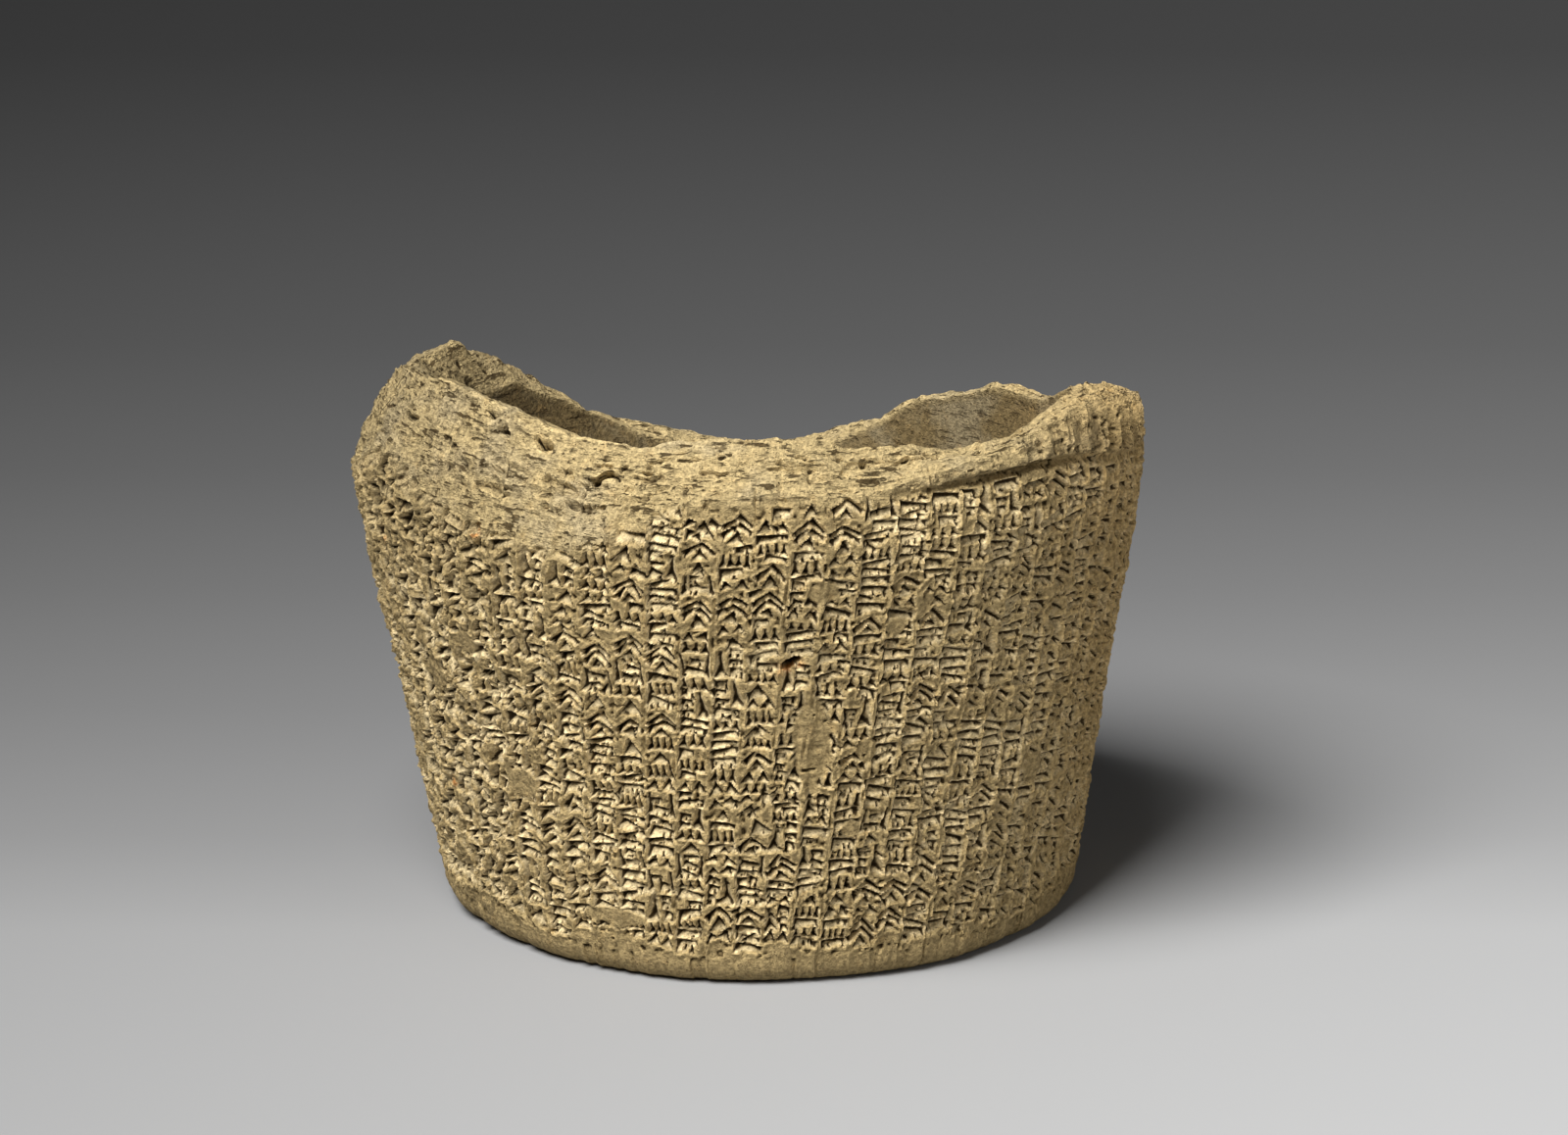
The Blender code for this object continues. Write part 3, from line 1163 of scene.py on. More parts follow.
    def _grained(self, inset: Array, around: Array, worn_left: Array, wear: Array) -> Array:
        """Adds lumps, shallow hollows, crumbs and pocks, the fine ones fainter where strokes lie.

        Args:
            inset: how deep each point lies.
            around: the same points in space.
            worn_left: 1 at the worn left side, 0 elsewhere.
            wear: how much each point was blurred.

        Returns:
            The new insets.
        """
        marked = smooth_step(0.0002, 0.0008, inset)
        flat = np.array([1.0, 1.0, 1.7])
        lumpy = self.noise.at(around * flat, 0.0034, 3)
        hollowed = smooth_step(0.18, 0.55, self.noise.at(around * flat + 0.7, 0.0042, 2))
        crumbs = self.noise.at(around, 0.0011, 2)
        pocks = smooth_step(0.12, 0.48, self.noise.at(around + 0.9, 0.0011, 2))
        uneven = (self.lump + self.left_lump * worn_left) * lumpy
        inset = inset + uneven + self.left_hollow * worn_left * hollowed
        inset = inset + (self.crumb - 0.00018 * marked + 0.00008 * wear) * crumbs
        return inset + (self.pock - 0.00030 * marked) * pocks

    def _chips(self, around: Array, below: Array) -> Array:
        """The wall's upper edge, chipped back unevenly where it broke.

        Args:
            around: the wall's points in space.
            below: how far each point lies below the edge.

        Returns:
            How deep each point is chipped.
        """
        edge = below / (0.0011 + 0.0008 * self.noise.at(around[-1:], 0.006, 2))
        return (self.edge_chip + 0.0006 * self.noise.at(around, 0.003, 2)) * np.exp(-edge * edge)

    def _spot(self, spot: WornSpot, azimuth: Array, height: Array, around: Array, inset: Array) -> Array:
        """Blends one worn place into the insets.

        Args:
            spot: the worn place.
            azimuth: azimuths in radians, one for each point.
            height: heights of the same points, in metres.
            around: the same points in space.
            inset: how deep each point lies.

        Returns:
            The new insets.
        """
        across = wrap(azimuth - math.radians(spot.azimuth)) * self.wall.radius(height)
        up = height - spot.height * MM
        away = np.sqrt((across / (spot.half_width * MM)) ** 2 + (up / (spot.half_height * MM)) ** 2)
        away = away + 0.28 * self.noise.at(around, 0.0026, 2)
        mask = 1.0 - smooth_step(0.82, 1.12, away)
        rough = self.noise.at(around * np.array([1.0, 1.0, 2.2]), 0.0022, 3)
        self.pressed = self.pressed * (1.0 - mask)
        return inset * (1.0 - mask) + (spot.depth + 2.2 * spot.roughness * rough) * MM * mask

    def _holes(self, azimuth: Array, height: Array, around: Array, inset: Array) -> Array:
        """Adds the deep holes, with a burnt stain below each, and small straw holes.

        Args:
            azimuth: azimuths in radians, one for each point.
            height: heights of the same points, in metres.
            around: the same points in space.
            inset: how deep each point lies.

        Returns:
            The new insets.
        """
        ragged = self.noise.at(around, 0.0013, 2)
        for hole in self.holes:
            across = wrap(azimuth - math.radians(hole.azimuth)) * self.wall.radius(height)
            up = height - hole.height * MM - 0.16 * across
            away = np.sqrt((across / (hole.half_width * MM)) ** 2 + (up / (hole.half_height * MM)) ** 2)
            away = away + 0.6 * ragged
            inset = inset + hole.depth * MM * (1.0 - smooth_step(0.55, 1.15, away))
            lip = np.exp(-((across / (1.1 * hole.half_width * MM)) ** 2)
                         - ((up + 1.1 * hole.half_height * MM) / (0.8 * MM)) ** 2)
            self.stain = np.maximum(self.stain, lip)
        straw = self.noise.at(around * np.array([1.0, 1.0, 1.6]) + 0.31, 0.0016, 1)
        return inset + self.straw_hole * smooth_step(0.74, 0.90, straw)


@dataclass
class BrokenRim(ClaySurface):
    """The broken surface, with its straw-lined layers, cracks and voids."""

    rows: int = 56
    quick_rows: int = 34
    lumps: float = 0.00050
    flakes: float = 0.00075
    grit: float = 0.00022
    cracks: float = 0.0008
    pits: float = 0.0005
    small_voids: int = 60
    large_voids: tuple = (
        Void(-22.0, 0.40, 2.2, 0.32, 3.2),
        Void(-14.7, 0.40, 1.2, 0.25, 2.0),
        Void(-33.5, 0.55, 1.8, 0.42, 3.0),
        Void(-41.0, 0.50, 1.6, 0.36, 2.4),
        Void(-44.0, 0.60, 2.0, 0.25, 1.6),
        Void(36.0, 0.20, 1.4, 0.50, 1.0),
    )
    sunk: Array = field(default=None, init=False)

    def build(self, azimuth: Array, edge: Array) -> Array:
        """The broken surface, from the worn outer edge to the inner face.

        Args:
            azimuth: azimuth of each column at the outer edge.
            edge: the outer edge's points.

        Returns:
            Points of shape (rows, columns, 3), without the outer edge itself.
        """
        wall = self.wall
        axis = wall.lean * edge[:, 2]
        start = np.hypot(edge[:, 0] - axis, edge[:, 1])
        rows = self.rows
        share = np.linspace(0.0, 1.0, rows)[1:, None]
        inner = wall.belly_radius - wall.thickness
        radius = start[None, :] * (1 - share) + inner * share
        depth = (wall.belly_radius - radius) / wall.thickness
        turn = np.broadcast_to(azimuth, radius.shape)
        height = self.grid.break_heights(turn, depth)
        lost = (wall.belly_radius - start[None, :]) / wall.thickness
        base = self.grid.break_heights(azimuth[None, :], lost)
        height = height + (edge[None, :, 2] - base) * (1 - share) ** 6
        points = wall.place(turn, radius, height, wall.hollow_shift * share)
        return self._fracture(points, turn, share)

    def _fracture(self, points: Array, azimuth: Array, share: Array) -> Array:
        """Roughens the broken clay: lumps, thin straw-lined layers and deep voids.

        Args:
            points: the smooth broken surface, of shape (rows, columns, 3).
            azimuth: azimuths in radians, one for each point.
            share: 0 at the outer edge, 1 at the inner edge.

        Returns:
            The roughened points.
        """
        crest = self.grid.broken.height(azimuth, np.full_like(azimuth, self.grid.broken.crest_depth))
        down = np.abs(crest - points[..., 2]) + 0.6 * self.wall.thickness * (1.0 - share)
        along = wrap(azimuth) * self.wall.belly_radius
        layers = np.stack([along / 4.5, down / 1.15, share * np.ones_like(down)], axis=-1) / MM
        layers[..., 2] *= MM
        lumps = self.noise.at(points + 0.5, 0.0045, 3)
        flakes = self.noise.at(layers, 1.0, 2)
        grit = self.noise.at(points + 2.9, 0.0011, 2)
        inside = np.minimum(np.minimum(share / 0.16, (1 - share) / 0.08), 1.0)
        drop = self.lumps * lumps + self.flakes * flakes + self.grit * grit
        cracks = smooth_step(0.28, 0.48, self.noise.at(layers * 0.9 + 40.0, 1.0, 2))
        pits = smooth_step(0.55, 0.75, self.noise.at(points + 7.7, 0.0017, 1))
        drop = drop - self.cracks * cracks - self.pits * pits
        sunk = self._sinking(points, azimuth, share)
        self.sunk = (sunk + 0.0009 * cracks) * inside
        lift = (drop - sunk) * inside
        slope = self._slopes(points, share)
        top = self.grid.broken.peak - self.grid.broken.top_margin
        moved = points.copy()
        moved[..., 0] += lift * np.sin(slope) * np.sin(azimuth)
        moved[..., 1] -= lift * np.sin(slope) * np.cos(azimuth)
        moved[..., 2] = np.minimum(points[..., 2] + lift * np.cos(slope), top)
        return moved

    def _sinking(self, points: Array, azimuth: Array, share: Array) -> Array:
        """How deep the voids go.

        Args:
            points: the smooth broken surface, of shape (rows, columns, 3).
            azimuth: azimuths in radians, one for each point.
            share: 0 at the outer edge, 1 at the inner edge.

        Returns:
            Depths in metres, 0 outside the voids.
        """
        ragged = self.noise.at(points, 0.0016, 2)
        sunk = np.zeros_like(ragged)
        for hole in self.voids():
            across = wrap(azimuth - math.radians(hole.azimuth)) * (self.wall.belly_radius - 0.006)
            along = (share - hole.depth_share) * self.wall.thickness
            away = np.sqrt((across / (hole.half_width * MM)) ** 2 + (along / (hole.half_height * MM)) ** 2)
            away = away + 0.4 * ragged
            sunk = np.maximum(sunk, hole.sink * MM * (1.0 - smooth_step(0.4, 1.1, away)))
        return sunk

    def _slopes(self, points: Array, share: Array) -> Array:
        """How steeply the break rises from the outer edge, so that its relief stands square on it.

        Args:
            points: the smooth broken surface, of shape (rows, columns, 3).
            share: 0 at the outer edge, 1 at the inner edge.

        Returns:
            Angles in radians, 0 towards the inner edge.
        """
        rise = np.gradient(blurred(points[..., 2], 6), axis=0)
        slope = np.clip(np.arctan2(rise, self.wall.thickness / len(points)), -0.3, 1.1)
        return slope * (1.0 - smooth_step(0.48, 0.72, share))

    def voids(self) -> list:
        """The large voids that show in the break, and a scatter of small ones.

        Returns:
            All voids.
        """
        seen = list(self.large_voids)
        chance = random.Random(self.grid.seed + 7)
        for _ in range(self.small_voids):
            seen.append(Void(chance.uniform(-180, 180), chance.uniform(0.12, 0.9),
                             chance.uniform(0.5, 1.3), chance.uniform(0.2, 0.4), chance.uniform(0.6, 1.3)))
        return seen


@dataclass
class Hollow(ClaySurface):
    """The inside of the wall, its round corner and its floor."""

    rows: int = 40
    quick_rows: int = 30
    throwing: float = 0.00016
    pits: float = 0.0006
    flakes: float = 0.00022

    def build(self, rim: Array, azimuth: Array) -> Array:
        """Runs the inside down from the break's inner edge.

        Args:
            rim: the break's inner edge, one point for each column.
            azimuth: azimuths of those points.

        Returns:
            Points of shape (rows, columns, 3), without the edge itself, down to the floor.
        """
        wall = self.wall
        corner = wall.floor + wall.fillet
        count = self.rows
        share = np.linspace(0.0, 1.0, count)[1:, None]
        top = rim[:, 2]
        height = top[None, :] + (corner - top[None, :]) * share
        turn = azimuth[None, :] - wall.slant(top)[None, :] * share
        radius = wall.radius(height) - wall.thickness
        start = np.hypot(rim[:, 0] - wall.lean * rim[:, 2] - wall.hollow_shift, rim[:, 1])
        radius = radius + (start[None, :] - radius[:1]) * (1 - share) ** 8
        places = np.stack([np.sin(turn) * 0.9, np.cos(turn) * 0.9, height / 0.0024], axis=-1)
        throwing = self.noise.at(places, 1.0, 2)
        points = wall.place(turn, radius, height)
        pits = smooth_step(0.72, 0.9, self.noise.at(points * np.array([1, 1, 1.8]), 0.0019, 1))
        flakes = smooth_step(0.42, 0.6, self.noise.at(points + 3.3, 0.010, 3))
        radius = radius + self.throwing * throwing + self.pits * pits + self.flakes * flakes
        sides = wall.place(turn, radius, height, wall.hollow_shift)
        rows = [sides]
        base = wall.radius(corner) - wall.thickness - wall.fillet
        last = radius[-1]
        for step in range(1, 9):
            bend = step / 8 * math.pi / 2
            ring = base + (last - base) * math.cos(bend)
            level = np.full_like(ring, corner - wall.fillet * math.sin(bend))
            rows.append(wall.place(turn[-1], ring, level, wall.hollow_shift)[None])
        for ring_share in (0.75, 0.5, 0.25):
            level = np.full(self.grid.columns, wall.floor)
            swirl = wall.place(turn[-1], base * ring_share * np.ones(self.grid.columns), level)
            level = level + 0.0002 * self.noise.at(swirl, 0.006, 2)
            rows.append(wall.place(turn[-1], base * ring_share * np.ones(self.grid.columns), level,
                                   wall.hollow_shift)[None])
        return np.concatenate(rows)


@dataclass
class Foot(ClaySurface):
    """The worn round foot and the flat underside."""

    rows: int = 9

    def build(self, edge: Array) -> Array:
        """Rounds the foot off and closes the underside.

        Args:
            edge: the wall's lowest row of points.

        Returns:
            Points of shape (rows, columns, 3), without that row, down to the underside.
        """
        wall = self.wall
        angle = self.grid.column_angles()
        start = np.hypot(edge[:, 0] - wall.lean * edge[:, 2], edge[:, 1])
        turn = angle + wall.slant(edge[:, 2])
        left = smooth_step(0.2, 1.6, -wrap(turn)) * (wrap(turn) < 0)
        rows = []
        flat = start - wall.foot_round * (1.0 + 0.10 * left)
        for step in range(1, self.rows + 1):
            bend = step / self.rows * math.pi / 2
            ring = flat + (start - flat) * math.cos(bend)
            level = edge[:, 2] * (1 - math.sin(bend))
            points = wall.place(turn, ring, level)
            dent = 0.00016 * self.noise.at(points, 0.0028, 2) * math.cos(bend)
            rows.append(wall.place(turn, ring + dent, level)[None])
        for ring_share in (0.8, 0.5, 0.2):
            rows.append(wall.place(turn, flat * ring_share, np.zeros(self.grid.columns))[None])
        return np.concatenate(rows)


@dataclass
class ClayCylinder:
    """The whole piece of clay, as closed sectors that meet along the rules between text lines."""

    grid: ClayGrid = field(default_factory=ClayGrid)
    pieces: tuple = ("right", "back_right", "back_left", "left", "front")
    sharp: float = math.radians(38.0)
    edge_margin: float = 0.00012

    def build(self, finish: bpy.types.Material) -> list:
        """Builds and dresses the worn clay.

        Args:
            finish: the clay's material.

        Returns:
            The finished sectors, at the origin, with their masks as point attributes.
        """
        outside, break_face = OuterWall(self.grid), BrokenRim(self.grid)
        azimuth, outer = outside.build(finish)
        rim = break_face.build(azimuth[-1], outer[-1])
        hollow = Hollow(self.grid).build(rim[-1], azimuth[-1])
        foot = Foot(self.grid).build(outer[0])
        profile = np.concatenate([foot[::-1], outer, rim, hollow])
        lowest, highest = (np.array(corner) for corner in CAD_BOUNDS)
        low = lowest + np.array([self.edge_margin, self.edge_margin, 0.0])
        profile = np.clip(profile, low, highest - self.edge_margin)
        masks = self._masks(outside, break_face.sunk, (foot, outer, rim, hollow))
        sectors = [self._sector(name, span, profile, masks) for name, span in self._spans()]
        for clay in sectors:
            self._dress(clay, finish)
        return sectors

    def _dress(self, clay: bpy.types.Object, finish: bpy.types.Material) -> None:
        """Gives a sector its finish, and ties it to the solid that it stands for.

        Args:
            clay: the sector.
            finish: the clay's material.
        """
        clay.data.materials.append(finish)
        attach(clay, "root")
        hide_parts("clay_cylinder")

    def _masks(self, outside: OuterWall, sunk: Array, grids: tuple) -> dict:
        """Values from 0 to 1 that the clay's finish reads, for every point of the profile.

        Args:
            outside: the finished outer wall.
            sunk: how deep each point of the break lies in a crack or a void.
            grids: the foot, the outer wall, the break and the hollow, in that order.

        Returns:
            One array of shape (rows, columns) for each mask's name.
        """
        _, outer, rim, _ = grids
        below = outer[-1:, :, 2] - outer[..., 2]
        whole = 1.0 - np.exp(-((below / 0.0022) ** 2))
        # recess drives painted shade in the wall's low places and a painted highlight on its raised ones;
        # deep adds painted shade in deep strokes and holes
        recess = (outside.inset - blurred(outside.inset, 3)) * whole
        closing = self.grid.wall.divider_height(wrap(np.arctan2(outer[..., 0], -outer[..., 1])))
        band = smooth_step(-0.0014, 0.0004, outer[..., 2] - closing)
        deep = smooth_step(0.0018, 0.0026, outside.inset) * whole
        share = np.linspace(0.0, 1.0, len(rim))[:, None]
        inner = np.minimum(np.minimum(share, 1.0 - share) / 0.10, 1.0)
        level = rim[..., 2]
        rough = (level - blurred(level, 4)) / 0.00045 * inner * inner
        # fissures: painted shade in the break's hollows, cracks and voids
        fissures = np.maximum(0.5 - 0.5 * np.clip(rough, -1.0, 1.0), smooth_step(0.0004, 0.0020, sunk))
        values = {
            "pressed": (0.0, outside.pressed, 0.0, 0.0),
            "recess": (0.5, np.maximum(0.5 + 0.5 * np.clip(recess / 0.00024, -1.0, 1.0), deep),
                       fissures, 0.5),
            "broken": (0.0, np.maximum(np.exp(-((below / 0.0012) ** 2)), 0.65 * band), 1.0, 0.0),
            "inside": (0.0, 0.0, 0.0, 1.0),
            "stain": (0.0, outside.stain * (1.0 - deep), 0.0, 0.0),
        }
        return {name: np.concatenate([np.broadcast_to(value, grid.shape[:2])
                                      for value, grid in zip(parts, grids)])
                for name, parts in values.items()}

    def _spans(self) -> list:
        """Shares the columns out among the pieces, each cut on a rule between two lines.

        Returns:
            Each piece's name with its first and last column.
        """
        rules = [int(np.searchsorted(self.grid.lines, line)) for line in range(self.grid.wall.text_lines)]
        rules.append(self.grid.columns)
        cuts = [min(rules, key=lambda rule: abs(rule - self.grid.columns * part / len(self.pieces)))
                for part in range(len(self.pieces) + 1)]
        return list(zip(self.pieces, zip(cuts[:-1], cuts[1:])))

    def _sector(self, name: str, span: tuple, profile: Array, masks: dict) -> bpy.types.Object:
        """Makes one closed sector of the clay.

        Args:
            name: where the sector is.
            span: its first and last column.
            profile: all points from the underside's middle, round the wall, to the floor's middle.
            masks: the finish's masks for those points.

        Returns:
            The sector's object.
        """
        picked = np.arange(span[0], span[1] + 1) % self.grid.columns
        rows, columns = len(profile), len(picked)
        under, top = rows * columns, rows * columns + 1
        middle = np.array([[0.0, 0.0, 0.0], [self.grid.wall.hollow_shift, 0.0, self.grid.wall.floor]])
        points = np.concatenate([profile[:, picked].reshape(-1, 3), middle])
        column = np.arange(columns - 1)
        last = (rows - 1) * columns
        fans = np.concatenate([
            np.stack([np.full(columns - 1, under), column + 1, column], axis=1),
            np.stack([last + column, last + column + 1, np.full(columns - 1, top)], axis=1),
            self._cut(points, rows, columns, 0, -1.0),
            self._cut(points, rows, columns, columns - 1, 1.0),
        ])
        mesh = bpy.data.meshes.new(f"clay_{name}")
        mesh_from_arrays(mesh, points, open_quads(rows, columns), fans)
        for label, values in masks.items():
            flat = np.concatenate([values[:, picked].ravel(), [values[0, 0], values[-1, 0]]])
            store = mesh.attributes.new(label, "FLOAT", "POINT")
            store.data.foreach_set("value", flat.astype(np.float32))
        mesh.shade_smooth()
        mesh.set_sharp_from_angle(angle=self.sharp)
        clay = bpy.data.objects.new(f"clay_{name}", mesh)
        bpy.context.scene.collection.objects.link(clay)
        return clay

    def _cut(self, points: Array, rows: int, columns: int, column: int, side: float) -> Array:
        """Triangles of the flat end of a sector, along one column.

        Args:
            points: the sector's points, the two middles last.
            rows: rows of the sector's grid.
            columns: columns of the sector's grid.
            column: the column that the end follows.
            side: 1 for an end that faces growing azimuths, -1 for the other end.

        Returns:
            Corner numbers, three for each triangle.
        """
        loop = np.concatenate([[rows * columns], np.arange(rows) * columns + column, [rows * columns + 1]])
        ring = points[loop]
        outwards = np.hypot(ring[:, 0] - self.grid.wall.lean * ring[:, 2], ring[:, 1])
        flat = np.stack([outwards, ring[:, 2]], axis=1)
        faces = np.array(tessellate_polygon([[Vector((*place, 0.0)) for place in flat]]))
        one, two, three = (flat[faces[:, corner]] for corner in range(3))
        area = np.cross(two - one, three - one)
        wrong = area * side < 0.0
        faces[wrong] = faces[wrong][:, ::-1]
        return loop[faces]


def open_quads(rows: int, columns: int) -> Array:
    """Lists the quads of a grid with open sides, facing out where rows go up and columns go right.

    Args:
        rows: rows of the grid.
        columns: columns of the grid.

    Returns:
        Corner numbers, four for each quad.
    """
    row = np.arange(rows - 1)[:, None] * columns
    column = np.arange(columns - 1)[None, :]
    low = row + column
    return np.stack([low, low + 1, low + columns + 1, low + columns], axis=-1).reshape(-1, 4)


def ring_quads(rows: int, columns: int) -> Array:
    """Lists the quads of a grid that closes round its columns, facing out where rows go up.

    Args:
        rows: rows of the grid.
        columns: columns of the grid.

    Returns:
        Corner numbers, four for each quad.
    """
    row = np.arange(rows - 1)[:, None] * columns
    ring = np.arange(columns)[None, :]
    after = (ring + 1) % columns
    quads = np.stack([row + ring, row + after, row + columns + after, row + columns + ring], axis=-1)
    return quads.reshape(-1, 4)


def mesh_from_arrays(mesh: bpy.types.Mesh, points: Array, quads: Array, triangles: Array = None) -> None:
    """Fills an empty mesh with points, quads and triangles.

    Args:
        mesh: the empty mesh.
        points: points of shape (count, 3).
        quads: corner numbers, four for each quad.
        triangles: corner numbers, three for each triangle.
    """
    corners = [quads.ravel()]
    sizes = [np.full(len(quads), 4)]
    if triangles is not None:
        corners.append(triangles.ravel())
        sizes.append(np.full(len(triangles), 3))
    corner, size = np.concatenate(corners), np.concatenate(sizes)
    mesh.vertices.add(len(points))
    mesh.vertices.foreach_set("co", points.astype(np.float32).ravel())
    mesh.loops.add(len(corner))
    mesh.loops.foreach_set("vertex_index", corner.astype(np.int32))
    mesh.polygons.add(len(size))
    mesh.polygons.foreach_set("loop_start", (np.cumsum(size) - size).astype(np.int32))
    mesh.update(calc_edges=True)


def mesh_points(mesh: bpy.types.Mesh) -> Array:
    """Reads a mesh's points.

    Args:
        mesh: the mesh to read.

    Returns:
        Points of shape (count, 3).
    """
    flat = np.zeros(len(mesh.vertices) * 3, np.float32)
    mesh.vertices.foreach_get("co", flat)
    return flat.reshape(-1, 3).astype(float)


def blurred(values: Array, times: int) -> Array:
    """Blurs a grid that closes round its columns.

    Args:
        values: an array of shape (rows, columns).
        times: how often it is blurred.

    Returns:
        The blurred array.
    """
    for _ in range(times):
        values = 0.5 * values + 0.25 * (np.roll(values, 1, axis=1) + np.roll(values, -1, axis=1))
        padded = np.concatenate([values[:1], values, values[-1:]])
        values = 0.5 * values + 0.25 * (padded[:-2] + padded[2:])
    return values


class NodeGroup:
    """A shader node tree under construction, with short ways to add and link its nodes."""

    def __init__(self, tree: bpy.types.NodeTree) -> None:
        """Wraps a node tree."""
        self.tree = tree

    def node(self, kind: str, **settings: object) -> bpy.types.Node:
        """Adds a node with its settings.

        Args:
            kind: Blender's name for the node's type.
            settings: its properties by name.

        Returns:
            The node.
        """
        node = self.tree.nodes.new(kind)
        for name, value in settings.items():
            setattr(node, name, value)
        return node

    def link(self, source: bpy.types.NodeSocket, target: bpy.types.NodeSocket) -> None:
        """Links an output to an input."""
        self.tree.links.new(source, target)

    def noise(self, coords: bpy.types.NodeSocket, scale: float, detail: float = 2.0,
              roughness: float = 0.5) -> bpy.types.NodeSocket:
        """Adds a noise texture.

        Args:
            coords: where it is read.
            scale: how fine it is.
            detail: how many finer layers it has.
            roughness: how strong those layers are.

        Returns:
            Its value.
        """
        node = self.node("ShaderNodeTexNoise")
        node.inputs["Scale"].default_value = scale
        node.inputs["Detail"].default_value = detail
        node.inputs["Roughness"].default_value = roughness
        self.link(coords, node.inputs["Vector"])
        return node.outputs[0]

    def span(self, value: bpy.types.NodeSocket, low: float, high: float) -> bpy.types.NodeSocket:
        """Maps a value smoothly from 0 at low to 1 at high.

        Args:
            value: the socket to map.
            low: what gives 0.
            high: what gives 1.

        Returns:
            The node's output.
        """
        node = self.node("ShaderNodeMapRange", interpolation_type="SMOOTHSTEP")
        node.inputs["From Min"].default_value = low
        node.inputs["From Max"].default_value = high
        self.link(value, node.inputs["Value"])
        return node.outputs["Result"]

    def maths(self, operation: str, *values: object) -> bpy.types.NodeSocket:
        """Adds a math node whose inputs are sockets or numbers.

        Args:
            operation: Blender's name for it.
            values: its inputs in order.

        Returns:
            The node's output.
        """
        node = self.node("ShaderNodeMath", operation=operation)
        for place, value in enumerate(values):
            if isinstance(value, bpy.types.NodeSocket):
                self.link(value, node.inputs[place])
            else:
                node.inputs[place].default_value = value
        return node.outputs[0]

    def mix(self, share: object, first: object, second: object, blend: str = "MIX") -> bpy.types.NodeSocket:
        """Mixes two colours, each a socket or a tuple.

        Args:
            share: the second colour's share.
            first: the first colour.
            second: the second colour.
            blend: how they are blended.

        Returns:
            The node's output.
        """
        node = self.node("ShaderNodeMix", data_type="RGBA", blend_type=blend)
        for socket, value in ((node.inputs[0], share), (node.inputs[6], first), (node.inputs[7], second)):
            if isinstance(value, bpy.types.NodeSocket):
                self.link(value, socket)
            elif isinstance(value, tuple):
                socket.default_value = (*value, 1.0)
            else:
                socket.default_value = value
        return node.outputs[2]

    def grey(self, value: bpy.types.NodeSocket) -> bpy.types.NodeSocket:
        """Makes a grey of a value.

        Args:
            value: the socket that gives its brightness.

        Returns:
            The node's output.
        """
        tint = self.node("ShaderNodeCombineColor")
        for channel in range(3):
            self.link(value, tint.inputs[channel])
        return tint.outputs[0]


def straw_cracks() -> bpy.types.NodeTree:
    """Builds the node group of the thin cracks, which run round the barrel as its straw did.

    Returns:
        The group. Cracks is 1 inside a crack, and Layers is the noise that they follow.
    """
    tree = bpy.data.node_groups.new("straw_cracks", "ShaderNodeTree")
    tree.interface.new_socket("Place", in_out="INPUT", socket_type="NodeSocketVector")
    tree.interface.new_socket("Cracks", in_out="OUTPUT", socket_type="NodeSocketFloat")
    tree.interface.new_socket("Layers", in_out="OUTPUT", socket_type="NodeSocketFloat")
    make = NodeGroup(tree)
    given = make.node("NodeGroupInput")
    result = make.node("NodeGroupOutput")
    split = make.node("ShaderNodeSeparateXYZ")
    make.link(given.outputs["Place"], split.inputs[0])
    x, y, z = split.outputs
    azimuth = make.maths("ARCTAN2", x, make.maths("MULTIPLY", y, -1.0))
    radius = make.maths("SQRT", make.maths("ADD", make.maths("MULTIPLY", x, x), make.maths("MULTIPLY", y, y)))
    laid = make.node("ShaderNodeCombineXYZ")
    make.link(make.maths("MULTIPLY", azimuth, 16.0), laid.inputs[0])
    make.link(make.maths("MULTIPLY", radius, 1400.0), laid.inputs[1])
    make.link(make.maths("MULTIPLY", z, 1400.0), laid.inputs[2])
    lens = make.noise(laid.outputs[0], 1.0, 3.0, 0.6)
    make.link(lens, result.inputs["Layers"])
    sparse = make.noise(given.outputs["Place"], 220.0, 2.0, 0.5)
    cracks = make.maths("MULTIPLY", make.span(lens, 0.56, 0.62), make.span(sparse, 0.38, 0.52))
    make.link(cracks, result.inputs["Cracks"])
    return tree


